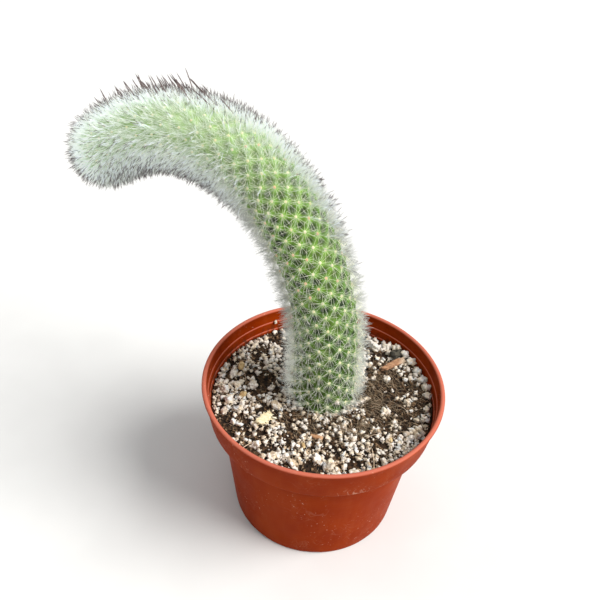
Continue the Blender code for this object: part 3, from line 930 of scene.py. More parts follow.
chip_looks = {
    "bark_chip_large": wood_look("bark", (184, 140, 106), (134, 96, 70), (238, 216, 190)),
    "bark_chip_small": wood_look("orange_bark", (206, 158, 118), (160, 112, 80), (222, 180, 140)),
    "pale_chip": wood_look("pale_wood", (246, 236, 202), (228, 208, 164), (250, 244, 220)),
}
for number, (chip_name, (at, size, turn_deg, raggedness)) in enumerate(CHIPS.items()):
    turn = math.radians(turn_deg)
    splinter = chip_mesh(chip_name, size, raggedness, 3.0 + number)
    piece = new_piece(f"{chip_name}_wood", splinter, chip_looks[chip_name])
    set_down = Matrix.Translation((*at, highest_mix_under(at, size, turn) + GAP))
    piece.data.transform(set_down @ Matrix.Rotation(turn, 4, "Z"))
    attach(piece, "root")
    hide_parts(chip_name)

# Fibres in the mix
# Fine roots and peat fibres, tan to dark brown, most of them on the bare peat at the right, and a
# few pale straws. They lie in shallow curves, and one straw leans up by the front rim.
FIBRES_ON_PEAT = 800
FIBRES_ELSEWHERE = 520
FIBRE_LENGTH_ON_PEAT = (0.0025, 0.0060)
FIBRE_LENGTH_ELSEWHERE = (0.0015, 0.0045)
FIBRE_RADIUS = (0.00004, 0.00009)
FIBRE_LIFT = 0.0013
FIBRE_RISE = 0.0009
FIBRE_WALL_GAP = 0.0004
FIBRES_ON_PATCHES = (0, 0, 0, 1, 1, 2, 2, 3, 6, 7, 8)
STRAND_STRIP = 0.012
RING_SHARES = {
    2: (0.0, 0.86),
    4: (0.0, 0.3, 0.6, 0.85),
    5: (0.0, 0.22, 0.44, 0.66, 0.86),
    8: tuple(n / 8 for n in range(8)),
}


def add_rings(faces, coordinates, first, sides, levels, tone, strip):
    """Faces between rings of points, closed to one last point, with a strip of the map up the levels."""
    last = first + (len(levels) - 1) * sides
    for ring, (low, high) in enumerate(zip(levels, levels[1:])):
        for side in range(sides):
            here = first + ring * sides + side
            after = first + ring * sides + (side + 1) % sides
            if ring == len(levels) - 2:
                faces.append((here, after, last))
                coordinates.extend((tone, low, tone + strip, low, tone + strip / 2, high))
            else:
                faces.append((here, after, after + sides, here + sides))
                coordinates.extend((tone, low, tone + strip, low, tone + strip, high, tone, high))


def mapped_mesh(name, points, faces, coordinates):
    mesh = bpy.data.meshes.new(name)
    mesh.from_pydata(points, [], faces)
    mesh.uv_layers.new(name="OFBake").data.foreach_set("uv", coordinates)
    mesh.shade_smooth()
    return mesh


def way_at(angle, first, second):
    """The way at an angle from a first one towards a second."""
    return math.cos(angle) * first + math.sin(angle) * second


def strands_mesh(name, strands, rings, sides=3):
    """Tapering strands. Each is (root, tip, bend, radius, tone), and its strip of the map is its own.

    Across the map runs the strand's tone, and up the map its length from root to tip.
    """
    points = []
    faces = []
    coordinates = []
    for root, tip, bend, radius, tone in strands:
        axis = (tip - root).normalized()
        aside = axis.orthogonal().normalized()
        over = axis.cross(aside)
        add_rings(faces, coordinates, len(points), sides, (*RING_SHARES[rings], 1.0), tone, STRAND_STRIP)
        for share in RING_SHARES[rings]:
            middle = root.lerp(tip, share) + bend * (4.0 * share * (1.0 - share))
            width = radius * (1.0 - 0.35 * share)
            for side in range(sides):
                points.append(middle + width * way_at(2.0 * math.pi * side / sides, aside, over))
        points.append(tip)
    return mapped_mesh(name, points, faces, coordinates)


def strand_group():
    """A strand's colour from its place on the map: root, middle and tip, paler or darker by strand."""
    tree, start, end = new_group(
        "Strand colour",
        [
            ("Root", "NodeSocketColor", None),
            ("Middle", "NodeSocketColor", None),
            ("Tip", "NodeSocketColor", None),
            ("Tip from", "NodeSocketFloat", 0.7),
            ("Tip to", "NodeSocketFloat", 1.0),
            ("Variation", "NodeSocketFloat", 0.2),
        ],
        [("Color", "NodeSocketColor")],
    )
    came = start.outputs
    spot = node(tree, "ShaderNodeUVMap", uv_map="OFBake").outputs["UV"]
    parts = node(tree, "ShaderNodeSeparateXYZ", {0: spot})
    rise = ramp(tree, parts.outputs["Y"], 0.0, 0.4)
    colour = blended(tree, rise, came["Root"], came["Middle"])
    close = ramp(tree, parts.outputs["Y"], came["Tip from"], came["Tip to"])
    colour = blended(tree, close, colour, came["Tip"])
    grey = maths(tree, "SUBTRACT", 1.0, times(tree, parts.outputs["X"], came["Variation"]))
    shade = node(tree, "ShaderNodeCombineXYZ", {"X": grey, "Y": grey, "Z": grey}).outputs[0]
    tree.links.new(vectors(tree, "MULTIPLY", colour, shade).outputs[0], end.inputs["Color"])
    return tree


STRAND_COLOUR = strand_group()


def strand_look(name, colours, tip_zone, variation, roughness, glow=0.0):
    """Strands of one kind, in colours for root, middle and tip. The tip's colour comes in over a zone.

    The variation is how much darker the darkest strand is. The glow stands for light that thin white
    hair lets through.
    """
    look, tree, shader = new_material(name, specular=0.3, roughness=roughness)
    inputs = {label: linear(colour) for label, colour in zip(("Root", "Middle", "Tip"), colours)}
    inputs.update({"Tip from": tip_zone[0], "Tip to": tip_zone[1], "Variation": variation})
    tint = node(tree, "ShaderNodeGroup", inputs, node_tree=STRAND_COLOUR)
    link(tree, tint.outputs["Color"], shader, "Base Color")
    link(tree, tint.outputs["Color"], shader, "Emission Color")
    shader.inputs["Emission Strength"].default_value = glow
    return look


def lying_fibre(draw, x, y, turn, length):
    """A shallow curve along the mix."""
    half = Vector((math.cos(turn), math.sin(turn), 0.0)) * length / 2
    root = Vector((x, y, 0.0)) - half
    tip = Vector((x, y, 0.0)) + half
    for end in (root, tip):
        reach = math.hypot(end.x, end.y)
        if reach > SOIL_EDGE - FIBRE_WALL_GAP:
            end.xy *= (SOIL_EDGE - FIBRE_WALL_GAP) / reach
        end.z = soil_height(end.x, end.y) + draw.uniform(0.0, FIBRE_LIFT)
    aside = Vector((-math.sin(turn), math.cos(turn), 0.0)) * draw.uniform(-0.18, 0.18) * length
    bend = aside + Vector((0.0, 0.0, draw.uniform(0.0, FIBRE_RISE)))
    return root, tip, bend, draw.uniform(*FIBRE_RADIUS), draw.random() * 0.98


def fibre_strands():
    draw = random.Random(31)
    strands = []
    while len(strands) < FIBRES_ON_PEAT:
        patch_x, patch_y, radius, _ = BARE_PATCHES[draw.choice(FIBRES_ON_PATCHES)]
        x = patch_x + radius * draw.uniform(-1.0, 1.0)
        y = patch_y + radius * draw.uniform(-1.0, 1.0)
        if math.hypot(x, y) > SOIL_EDGE - 0.002 or math.hypot(x - STEM_X, y - STEM_Y) < STEM_RADIUS + 0.001:
            continue
        turn = math.radians(draw.gauss(-28.0, 42.0))
        strands.append(lying_fibre(draw, x, y, turn, draw.uniform(*FIBRE_LENGTH_ON_PEAT)))
    for _ in range(FIBRES_ELSEWHERE):
        x, y = spot_on_mix(draw, 0.002)
        turn = draw.uniform(0.0, math.pi)
        strands.append(lying_fibre(draw, x, y, turn, draw.uniform(*FIBRE_LENGTH_ELSEWHERE)))
    return strands


def straw_strands():
    """The few pale straws: from, to, sideways bend and radius."""
    straws = (
        ((0.0284, -0.0352, 0.0003), (0.0256, -0.0245, 0.0022), (0.0004, 0.0, 0.0002), 0.00017),
        ((0.0120, -0.0105, 0.0008), (0.0160, -0.0160, 0.0009), (0.0008, 0.0010, 0.0008), 0.00014),
        ((-0.0265, -0.0385, 0.0009), (-0.0228, -0.0345, 0.0020), (0.0, 0.0, 0.0002), 0.00018),
        ((0.0335, 0.0020, 0.0008), (0.0385, -0.0025, 0.0008), (0.0010, 0.0006, 0.0006), 0.00010),
        ((0.0230, -0.0195, 0.0008), (0.0295, -0.0175, 0.0010), (0.0000, 0.0014, 0.0005), 0.00010),
        ((-0.0385, 0.0065, 0.0012), (-0.0350, -0.0005, 0.0012), (0.0004, 0.0, 0.0004), 0.00010),
    )
    made = []
    for low, high, bend, radius in straws:
        root = Vector((low[0], low[1], soil_height(low[0], low[1]) + low[2]))
        tip = Vector((high[0], high[1], soil_height(high[0], high[1]) + high[2]))
        made.append((root, tip, Vector(bend), radius, 0.1))
    return made


fibre_colours = ((152, 126, 98), (206, 182, 152), (180, 152, 122))
fibre_look = strand_look("peat_fibre", fibre_colours, (0.6, 1.0), variation=0.94, roughness=0.8)
fibres = new_piece("fibres", strands_mesh("fibres", fibre_strands(), 5, 4), fibre_look)
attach(fibres, "root")
straw_colours = ((222, 190, 156), (238, 214, 186), (238, 214, 186))
straw_look = strand_look("pale_straw", straw_colours, (0.6, 1.0), variation=0.1, roughness=0.7)
straws = new_piece("straws", strands_mesh("straws", straw_strands(), 8, 6), straw_look)
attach(straws, "root")

# Odd bits in the mix
# A dark lump of bark at the back right, and a few straw-coloured flakes of wood at the left and
# front, which lie loose among the grains. Each is given by its place, its radii and its kind.
ODD_BITS = (
    ((0.0285, 0.0335, 0.0013), (0.0030, 0.0025, 0.0018), "dark"),
    ((-0.0395, 0.0085, 0.0012), (0.0021, 0.0014, 0.0007), "ochre"),
    ((-0.0340, -0.0085, 0.0012), (0.0020, 0.0013, 0.0006), "ochre"),
    ((-0.0020, -0.0300, 0.0008), (0.0013, 0.0008, 0.0005), "ochre"),
    ((0.0330, -0.0180, 0.0008), (0.0011, 0.0009, 0.0005), "ochre"),
)


def odd_bits_mesh(name, kind):
    draw = random.Random(3)
    lumps = []
    for number, ((x, y, lift), radii, look) in enumerate(ODD_BITS):
        turn = Euler((0.2, -0.1, draw.uniform(0.0, 3.0)))
        if look == kind:
            lumps.append((Vector((x, y, soil_height(x, y) + lift)), radii, turn, 3, 0.6, 50 + number))
    return lumps_mesh(name, lumps)


dark_look = peat_look("dark_bark", (74, 70, 62), (36, 34, 30), (96, 92, 80))
dark_bit = new_piece("dark_lump", odd_bits_mesh("dark_lump", "dark"), dark_look)
ochre_look = peat_look("ochre_wood", (206, 180, 132), (172, 140, 96), (220, 200, 160))
ochre_bits = new_piece("ochre_flakes", odd_bits_mesh("ochre_flakes", "ochre"), ochre_look)
for piece in (dark_bit, ochre_bits):
    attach(piece, "root")

# Stem
# One fleshy green column that grew upright and then bent over. Its skin is raised in low rounded
# warts, twenty columns of them set in turns, with hollows between that are darkened by painted shade.
STEM_LENGTH = 0.1790
LEAN_END_DEG = 128.5
LEAN_POWER = 1.33
LEAN_LATE = 2.47
STEM_TIP_RADIUS = 0.0098
STEM_TAPER_POWER = 1.6
COLUMNS = 20
ROWS = 56
ROW_CROWDING = 0.12
TIP_RINGS = 5
RELIEF = 0.00070
STEM_SWAY = 0.0021
SWAY_AT = 0.52
SWAY_REACH = 0.17
SKIN_ACROSS = 6
SKIN_ALONG = 5
BURIED_ROW_STEP = 0.0032
SKIN_HOLLOW_SHADE_COLOUR = (12, 36, 6)
SKIN_OLD_COLOUR = (88, 136, 38)
SKIN_YOUNG_COLOUR = (134, 190, 62)
SKIN_BLOTCH_COLOUR = (134, 170, 60)
SKIN_DOT_COLOUR = (176, 204, 140)
SKIN_WOOL_COLOUR = (182, 208, 152)


def lean_at(along):
    """How far the stem leans from upright, in radians, at a share of its length."""
    share = min(max(along, 0.0), 1.0)
    early = share**LEAN_POWER
    late = (LEAN_LATE * (1.0 - share)) ** LEAN_POWER
    return math.radians(LEAN_END_DEG) * early / (early + late)


def centreline():
    """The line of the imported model's stem, with its middle moved a little into the bend."""
    pieces = 400
    step = STEM_LENGTH / pieces
    point = Vector((STEM_X, STEM_Y, SOIL_Z))
    points = [point.copy()]
    for piece_number in range(pieces):
        lean = lean_at((piece_number + 0.5) / pieces)
        point += step * Vector((-math.sin(lean), 0.0, math.cos(lean)))
        points.append(point.copy())
    for number, point in enumerate(points):
        point.x -= STEM_SWAY * math.exp(-(((number / pieces - SWAY_AT) / SWAY_REACH) ** 2))
    return points


STEM_PATH = centreline()


def stem_frame(distance):
    """The middle, the way along, the outer side of the bend and the sideways way at a distance."""
    lean = lean_at(distance / STEM_LENGTH)
    along = Vector((-math.sin(lean), 0.0, math.cos(lean)))
    outside = Vector((math.cos(lean), 0.0, math.sin(lean)))
    sideways = Vector((0.0, 1.0, 0.0))
    if distance <= 0.0:
        middle = STEM_PATH[0] + distance * along
    elif distance >= STEM_LENGTH:
        middle = STEM_PATH[-1] + (distance - STEM_LENGTH) * along
    else:
        place = distance / STEM_LENGTH * (len(STEM_PATH) - 1)
        low = int(place)
        middle = STEM_PATH[low].lerp(STEM_PATH[min(low + 1, len(STEM_PATH) - 1)], place - low)
    return middle, along, outside, sideways


def stem_radius(distance):
    share = min(max(distance / STEM_LENGTH, 0.0), 1.0)
    return STEM_RADIUS + (STEM_TIP_RADIUS - STEM_RADIUS) * share**STEM_TAPER_POWER


def stem_spot(row, column, lift=0.0):
    """A point of the skin, its outward way and its way towards the tip, by row and column.

    Rows past the last run over the rounded tip. Rows below the first are in the mix.
    """
    angle = column * 2 * math.pi / COLUMNS
    wart = 0.5 - 0.5 * math.cos(math.pi * row) * math.cos(math.pi * column)
    relief = RELIEF * (2.0 * wart**0.65 - 1.0)
    if row <= ROWS:
        share = row / ROWS
        up_the_stem = STEM_LENGTH * share * (1 + ROW_CROWDING * (1 - share))
        distance = up_the_stem if row > 0 else row * BURIED_ROW_STEP
        middle, along, outside, sideways = stem_frame(distance)
        outward = way_at(angle, outside, sideways)
        return middle + (stem_radius(distance) + relief + lift) * outward, outward, along, wart
    tilt = (row - ROWS) / TIP_RINGS * math.pi / 2
    middle, along, outside, sideways = stem_frame(STEM_LENGTH)
    outward = way_at(angle, outside, sideways)
    normal = way_at(tilt, outward, along)
    forward = way_at(tilt, along, -outward)
    reach = STEM_TIP_RADIUS + relief * math.cos(tilt) + lift
    return middle + reach * normal, normal, forward, wart


def skin_mesh():
    """The skin from just under the mix to the tip. Its colour reads each wart's height and how far up
    the stem it is: the young growth is yellower, and its short wool makes it pale.
    """
    bm = bmesh.new()
    heights = bm.verts.layers.float.new("wart")
    youth = bm.verts.layers.float.new("youth")
    across = COLUMNS * SKIN_ACROSS
    rows = [number / SKIN_ALONG for number in range(-3 * SKIN_ALONG, (ROWS + TIP_RINGS) * SKIN_ALONG)]
    rings = []
    for row in rows:
        ring = []
        for step in range(across):
            point, _, _, wart = stem_spot(row, step / SKIN_ACROSS)
            vert = bm.verts.new(point)
            vert[heights] = wart
            vert[youth] = row / ROWS
            ring.append(vert)
        rings.append(ring)
    for low, high in zip(rings, rings[1:]):
        for step in range(across):
            after = (step + 1) % across
            bm.faces.new((low[step], low[after], high[after], high[step]))
    bm.faces.new(rings[-1])
    bm.faces.new(list(reversed(rings[0])))
    bmesh.ops.recalc_face_normals(bm, faces=bm.faces)
    for face in bm.faces:
        face.smooth = True
    return mesh_of("stem_skin", bm)


def skin_look():
    """Green, darkened by painted shade in the hollows, yellower up the stem, and pale with wool on the arch.
    """
    look, tree, shader = new_material("cactus_skin", specular=0.4, roughness=0.55)
    place = object_place(tree)
    wart = node(tree, "ShaderNodeAttribute", attribute_name="wart").outputs["Fac"]
    youth = node(tree, "ShaderNodeAttribute", attribute_name="youth").outputs["Fac"]
    crest = blended(tree, ramp(tree, youth, 0.12, 0.50), SKIN_OLD_COLOUR, SKIN_YOUNG_COLOUR)
    # Painted shade: the hollows between the warts are darkened to a near black-green.
    colour = blended(tree, ramp(tree, wart, 0.20, 0.92), SKIN_HOLLOW_SHADE_COLOUR, crest)
    blotches = times(tree, patches(tree, place, 110.0, 3.0, 0.35, 0.7), 0.35)
    colour = blended(tree, blotches, colour, SKIN_BLOTCH_COLOUR)
    dots = times(tree, patches(tree, place, 1800.0, 2.0, 0.55, 0.7), 0.2)
    colour = blended(tree, dots, colour, SKIN_DOT_COLOUR)
    wool = times(tree, ramp(tree, youth, 0.54, 0.78), 0.8)
    link(tree, blended(tree, wool, colour, SKIN_WOOL_COLOUR), shader, "Base Color")
    link(tree, bumped(tree, noisy(tree, place, 2600.0, 3.0), 0.35, 0.00015), shader, "Normal")
    return look


stem = new_piece("stem_skin", skin_mesh(), skin_look())
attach(stem, "root")
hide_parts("stem")

# Areoles
# A small felted pad on the upper side of each wart, where the spines grow. Most are pale yellow, and
# some along the middle of the stem are salmon pink.
AREOLE_RADIUS = (0.00062, 0.00046)
AREOLE_RISE = 0.00042
AREOLE_OFFSET = 0.16
AREOLE_SIDES = 8
# how far out and how high each ring of points lies, as shares of the radius and the rise
AREOLE_RINGS = ((1.15, -0.3), (0.85, 0.55), (0.42, 0.92))
PINK_SHARE = 0.20
PINK_FROM = 0.32
PINK_TO = 0.70
FELT_COLOUR = (252, 248, 214)
FELT_YELLOW_COLOUR = (236, 228, 178)
FELT_PINK_COLOUR = (244, 200, 158)


def areole_spots():
    """(row, column) of each wart that shows, up to the very tip."""
    spots = []
    for row in range(ROWS + TIP_RINGS):
        is_near_tip = row > ROWS + 2
        for column in range(COLUMNS):
            if (row + column) % 2 == 1 and not (is_near_tip and column % 4 > 1):
                spots.append((row, column))
    return spots


AREOLES = areole_spots()


def spine_frame(row, column, lift):
    """A point of the skin, with the ways outward, towards the tip and sideways from it."""
    centre, outward, along, _ = stem_spot(row, column, lift)
    return centre, outward, along, outward.cross(along).normalized()


def areoles_mesh():
    """Low domes, each with a tone of its own on the map."""
    draw = random.Random(17)
    points = []
    faces = []
    coordinates = []
    for row, column in AREOLES:
        centre, outward, along, aside = spine_frame(row + AREOLE_OFFSET, column, 0.0)
        ahead = aside.cross(outward)
        share = min(row / ROWS, 1.0)
        radius = between(AREOLE_RADIUS, share)
        is_pink = PINK_FROM < share < PINK_TO and draw.random() < PINK_SHARE
        tone = 0.9 if is_pink else draw.uniform(0.02, 0.6)
        add_rings(faces, coordinates, len(points), AREOLE_SIDES, (0.0, 1 / 3, 2 / 3, 1.0), tone, 0.01)
        for ring, (out, rise) in enumerate(AREOLE_RINGS):
            for side in range(AREOLE_SIDES):
                angle = 2 * math.pi * (side + 0.5 * ring) / AREOLE_SIDES
                jitter = draw.uniform(0.88, 1.12)
                flat = radius * out * jitter * (1.15 * math.cos(angle) * ahead + math.sin(angle) * aside)
                points.append(centre + flat + AREOLE_RISE * rise * outward)
        points.append(centre + AREOLE_RISE * outward)
    return mapped_mesh("areoles", points, faces, coordinates)


def felt_look():
    """Soft felt in the tone of each areole. The highest tones are pink."""
    look, tree, shader = new_material("areole_felt", specular=0.1, roughness=0.95)
    tone = along_axis(tree, node(tree, "ShaderNodeUVMap", uv_map="OFBake").outputs["UV"], "X")
    colour = blended(tree, times(tree, tone, 1.2), FELT_COLOUR, FELT_YELLOW_COLOUR)
    colour = blended(tree, maths(tree, "GREATER_THAN", tone, 0.85), colour, FELT_PINK_COLOUR)
    link(tree, colour, shader, "Base Color")
    felt = noisy(tree, object_place(tree), 6000.0, 2.0)
    link(tree, bumped(tree, felt, 0.8, 0.0001), shader, "Normal")
    return look


areoles = new_piece("areoles", areoles_mesh(), felt_look())
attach(areoles, "root")

# Star spines
# Short straight white spines that spread flat from each areole like a star and cross their
# neighbours'. They show on the stem below the arch, and are thin and glassy.
STAR_SPINES = 11
STAR_LENGTH = (0.0034, 0.0062)
STAR_RADIUS = 0.000056
STAR_LIFT = 0.0002
STAR_ROOT_OUT = 0.0003
STAR_BEND = (-0.0001, 0.0003)
STAR_RISE_DEG = (8.0, 42.0)
STAR_FADE_ROWS = (36, 52)


def eased(value, low, high):
    """0 below one value, 1 above the other, and a soft rise between."""
    share = min(max((value - low) / (high - low), 0.0), 1.0)
    return share * share * (3.0 - 2.0 * share)


def star_strands():
    """Stars on the stem, fewer and fewer of them up to the arch. They are greyer inside the bend, which is
    painted shade on that side.
    """
    draw = random.Random(41)
    strands = []
    for row, column in AREOLES:
        if draw.random() < eased(row, *STAR_FADE_ROWS):
            continue
        centre, outward, along, aside = spine_frame(row + AREOLE_OFFSET, column, STAR_LIFT)
        first_turn = draw.uniform(0.0, 2 * math.pi)
        for number in range(STAR_SPINES):
            turn = first_turn + (number + draw.uniform(-0.35, 0.35)) * 2 * math.pi / STAR_SPINES
            rise = math.radians(draw.uniform(*STAR_RISE_DEG))
            flat = way_at(turn, along, aside)
            way = way_at(rise, flat, outward)
            length = draw.uniform(*STAR_LENGTH)
            root = centre + STAR_ROOT_OUT * flat
            bend = outward * draw.uniform(*STAR_BEND)
            # Painted shade: the spines on the inner side of the bend get darker tones.
            tone = 0.35 * draw.random() + 0.63 * eased(-outward.x, -0.4, 0.7)
            strands.append((root, root + length * way, bend, STAR_RADIUS, tone))
    return strands


star_colours = ((232, 236, 186), (246, 248, 222), (248, 248, 236))
star_look = strand_look("white_spine", star_colours, (0.7, 1.0), variation=0.6, roughness=0.45, glow=0.24)
stars = new_piece("star_spines", strands_mesh("star_spines", star_strands(), 2), star_look)
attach(stars, "root")

# Fur
# Long soft hair-like spines, 4 to 7 mm. Low down each areole has from four to about thirty, which
# stand straight out. On the arch it has a hundred or so, combed towards the tip, which nearly hide
# the skin. They are white, and on the arch and outside the bend many end in grey-brown.

# each pair: low on the stem, and where the fur is thick
FUR_HAIRS = (21, 116)
FUR_FACING = (0.20, 0.66)
FUR_SIDEWAYS = (1.44, 0.60)
FUR_LENGTH = (0.0070, 0.0062)
FUR_RADIUS = (0.000054, 0.000043)
FUR_SPREAD = (0.64, 0.28)
FUR_ROOT_SPREAD = (0.0012, 0.0026)
FUR_ROOT_DEPTH = 0.0002
FUR_THICKENS_FROM = 0.46
FUR_THICKENS_TO = 0.76
FUR_OUTER_LEAD = 0.16
FUR_TIP_FULLER = 1.5
FUR_DROOP = 0.05
FUR_LEAST_RISE = 0.15
TUFT_HAIRS = 4
TUFT_SPREAD = 0.0007
TUFT_REACH = 1.18
TUFT_STOUTER = 1.15
# share of the stem's length, and the value there
FUR_LEAN_DEG = ((0.0, 2.0), (0.30, 6.0), (0.50, 14.0), (0.65, 22.0), (0.80, 25.0), (0.90, 23.0), (1.0, 20.0))
# Painted light and shade: how much darker (above 0) or paler (below 0) the hairs are along the stem, on the
# inner and the outer side.
FUR_INNER_PAINTED_LIGHT_AND_SHADE = (
    (0.0, -0.8),
    (0.14, -0.6),
    (0.26, 0.65),
    (0.60, 0.55),
    (0.72, 0.10),
    (0.85, -0.3),
    (1.0, -0.8),
)
FUR_OUTER_PAINTED_LIGHT_AND_SHADE = ((0.0, 0.0), (0.25, 0.10), (0.40, 0.40), (0.60, 0.30), (0.75, -0.2), (1.0, -0.3))
FUR_BARER_ABOVE = 0.34
FUR_PAINTED_SHADE_IN_FRONT = 0.42
FUR_PER_PIECE = 20000
# the way that the side in the photo faces
FRONT = Vector((0.135, -0.766, 0.628))


def along_table(table, share):
    """A value read from a table of (share, value), with straight runs between."""
    for (low, first), (high, second) in zip(table, table[1:]):
        if share <= high:
            return first + (second - first) * (share - low) / (high - low)
    return table[-1][1]


def dark_chance(share, way):
    """How likely a lock is to end dark: on the arch, most of all on its top, and outside the bend.

    It is least where the lock points to the front or the back.
    """
    across = (1.0 - way.dot(FRONT) ** 2) ** 5
    outside = eased(share, 0.30, 0.46) * eased(way.x + way.z, 0.3, 1.0)
    on_arch = eased(share, 0.55, 0.70)
    at_top = 0.24 * max(way.z, 0.0) ** 3
    return max(on_arch * (0.01 + (0.28 + at_top) * across), 0.25 * outside * across)


def facing_front(way):
    """How far a way points to the front, from 0 to 1."""
    return max(way.dot(FRONT), 0.0) ** 2


def scattered(draw, aside, along, reach):
    """A random step over the skin, up to a reach each way."""
    return reach * (draw.uniform(-1.0, 1.0) * aside + draw.uniform(-1.0, 1.0) * along)


def hairs_of(row, outward, thick):
    """How many hairs an areole has: fewer where it faces the front or the back, or up on the front."""
    sideways = (1.0 - outward.dot(FRONT) ** 2) ** 2
    fuller = between(FUR_FACING, thick) + between(FUR_SIDEWAYS, thick) * sideways
    fuller *= 1.0 - FUR_BARER_ABOVE * thick * facing_front(outward) * max(outward.z, 0.0)
    return round(between(FUR_HAIRS, thick) * fuller * (FUR_TIP_FULLER if row > ROWS + 2 else 1.0))


def hair_tone(draw, share, way, thick):
    """How dark a hair is, from 0 to 1: by chance, then painted light and shade by the side it points to, and
    less where it points up.
    """
    # Painted light and shade: paler where the hair points up, paler or darker by side and height, and darker
    # where it points to the front.
    tone = 0.58 * draw.random() + 0.20 * (1.0 - 1.3 * way.z * thick)
    tone += along_table(FUR_INNER_PAINTED_LIGHT_AND_SHADE if way.x < 0.0 else FUR_OUTER_PAINTED_LIGHT_AND_SHADE, share) * abs(way.x)
    tone += FUR_PAINTED_SHADE_IN_FRONT * thick * facing_front(way) * (1.0 - max(way.z, 0.0))
    return min(max(tone, 0.0), 0.98)


def fur_strands():
    """Hairs of the upright part, white hairs of the arch, and tufts whose dark ends draw together."""
    draw = random.Random(43)
    sparse = []
    white = []
    dark_ended = []
    for row, column in AREOLES:
        share = min(row / ROWS, 1.0)
        outer = max(math.cos(column * 2 * math.pi / COLUMNS), 0.0) ** 3 * eased(share, 0.10, 0.34)
        thick = eased(share + FUR_OUTER_LEAD * outer, FUR_THICKENS_FROM, FUR_THICKENS_TO)
        lean = math.radians(along_table(FUR_LEAN_DEG, share))
        spread = between(FUR_SPREAD, thick)
        centre, outward, along, aside = spine_frame(row + AREOLE_OFFSET, column, -FUR_ROOT_DEPTH)
        for _ in range(hairs_of(row, outward, thick)):
            way = way_at(lean, outward, along)
            way += draw.gauss(0.0, spread) * aside + draw.gauss(0.0, spread) * along
            way.z -= FUR_DROOP
            way.normalize()
            rise = way.dot(outward)
            if rise < FUR_LEAST_RISE:
                way = (way + (2 * FUR_LEAST_RISE - rise) * outward).normalized()
            root = centre + scattered(draw, aside, along, between(FUR_ROOT_SPREAD, thick))
            length = between(FUR_LENGTH, thick) * draw.uniform(0.60, 1.02)
            radius = between(FUR_RADIUS, thick) * draw.uniform(0.8, 1.2)
            tone = hair_tone(draw, share, way, thick)
            if draw.random() > dark_chance(share, way):
                kept = white if draw.random() < thick else sparse
                kept.append((root, root + length * way, Vector(), radius, tone))
                continue
            tip = root + TUFT_REACH * length * way
            for _ in range(TUFT_HAIRS):
                start = root + scattered(draw, aside, along, TUFT_SPREAD)
                end = start.lerp(tip, draw.uniform(0.84, 1.04))
                dark_ended.append((start, end, Vector(), TUFT_STOUTER * radius, tone))
    return sparse, white, dark_ended


sparse_fur, white_fur, dark_ended_fur = fur_strands()
# The greener, darker roots of the fur are painted light and shade: green light from the skin let through the
# hair, and shade deep in the fur.
sparse_colours = ((190, 196, 174), (204, 207, 199), (212, 214, 211))
sparse_look = strand_look("stem_fur", sparse_colours, (0.7, 1.0), variation=0.62, roughness=0.6, glow=0.46)
white_colours = ((158, 186, 142), (219, 227, 216), (243, 247, 243))
white_look = strand_look("white_fur", white_colours, (0.6, 1.0), variation=0.46, roughness=0.6, glow=0.45)
dark_end_colours = ((214, 228, 212), (242, 248, 254), (88, 78, 77))
dark_end_look = strand_look(
    "dark_ended_fur", dark_end_colours, (0.60, 0.78), variation=0.36, roughness=0.6, glow=0.36
)
fur_sets = [("fur_dark_ended", dark_ended_fur, dark_end_look), ("fur_stem", sparse_fur, sparse_look)]
for first in range(0, len(white_fur), FUR_PER_PIECE):
    fur_sets.append((f"fur_white_{len(fur_sets) - 1}", white_fur[first : first + FUR_PER_PIECE], white_look))
for fur_name, strands, look in fur_sets:
    fur = new_piece(fur_name, strands_mesh(fur_name, strands, 2), look)
    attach(fur, "root")

# Crown spikes
# Stiff grey-brown spikes, 6 to 15 mm, that stand out of the fur along the top of the arch. They all
# lean much the same way, up and forward, in small bunches, with fine short bristles between them.

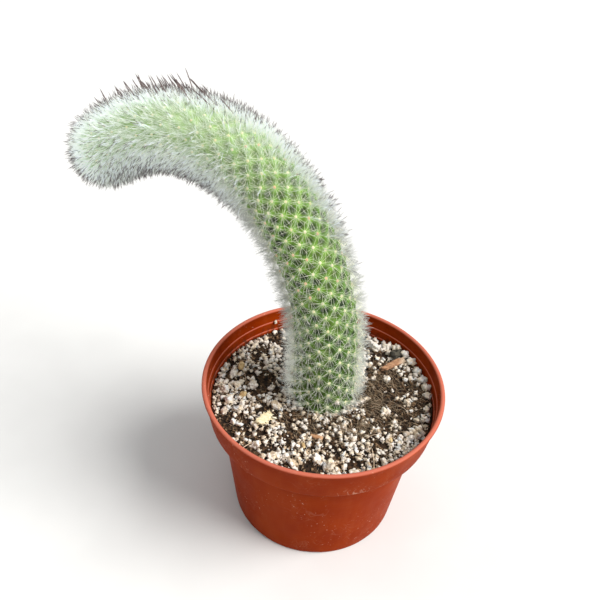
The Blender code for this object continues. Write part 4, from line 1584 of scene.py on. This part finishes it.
# share of the stem's length, lean in degrees, length in mm, and spikes in the bunch
SPIKES = (
    (0.965, 18, 7.2, 2),
    (0.950, 20, 7.4, 2),
    (0.936, 2, 8.0, 2),
    (0.915, 20, 7.6, 3),
    (0.900, 22, 8.6, 2),
    (0.878, 27, 8.8, 3),
    (0.866, 19, 9.4, 3),
    (0.850, 29, 9.6, 3),
    (0.838, 30, 9.0, 4),
    (0.822, 34, 10.4, 6),
    (0.808, 38, 9.6, 5),
    (0.791, 41, 11.2, 3),
    (0.780, 33, 12.2, 2),
    (0.770, 56, 10.8, 4),
    (0.750, 60, 12.6, 3),
    (0.735, 62, 10.6, 3),
    (0.720, 67, 12.4, 2),
    (0.690, 68, 10.0, 2),
)
SPIKE_RADIUS = 0.00024
SPIKE_STRETCH = 1.22
SPIKE_STRAY = 0.07
SPIKE_COLUMNS = (0.2, 2.4)
BRISTLES = 130
BRISTLE_SHARES = (0.66, 0.97)
BRISTLE_LEAN_DEG = (8.0, 42.0)
BRISTLE_LENGTH = (0.0060, 0.0082)
BRISTLE_RADIUS = 0.00011
BRISTLE_STRAY = 0.10


def spike_strands():
    """The bunches, each with a leading spike of its own length and lean, then the bristles."""
    draw = random.Random(47)
    strands = []
    for share, lean_deg, length_mm, bunch in SPIKES:
        for number in range(bunch):
            row = share * ROWS + draw.uniform(-0.25, 0.25)
            column = draw.uniform(*SPIKE_COLUMNS)
            centre, outward, along, aside = spine_frame(row, column, -FUR_ROOT_DEPTH)
            lean = math.radians(lean_deg + (draw.uniform(-9.0, 9.0) if number else 0.0))
            way = way_at(lean, outward, along) + draw.gauss(0.0, SPIKE_STRAY) * aside
            length = 0.001 * length_mm * SPIKE_STRETCH * (draw.uniform(0.72, 0.96) if number else 1.0)
            tip = centre + length * way.normalized()
            strands.append((centre, tip, outward * length * 0.03, SPIKE_RADIUS, draw.random() * 0.98))
    for _ in range(BRISTLES):
        row = draw.uniform(*BRISTLE_SHARES) * ROWS
        centre, outward, along, aside = spine_frame(row, draw.uniform(*SPIKE_COLUMNS), -FUR_ROOT_DEPTH)
        lean = math.radians(draw.uniform(*BRISTLE_LEAN_DEG))
        way = way_at(lean, outward, along) + draw.gauss(0.0, BRISTLE_STRAY) * aside
        tip = centre + draw.uniform(*BRISTLE_LENGTH) * way.normalized()
        strands.append((centre, tip, Vector(), BRISTLE_RADIUS, draw.random() * 0.98))
    return strands


spike_colours = ((180, 170, 162), (134, 116, 112), (98, 84, 84))
spike_look = strand_look("grey_spike", spike_colours, (0.45, 0.9), variation=0.25, roughness=0.55)
spikes = new_piece("crown_spikes", strands_mesh("crown_spikes", spike_strands(), 4, 5), spike_look)
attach(spikes, "root")
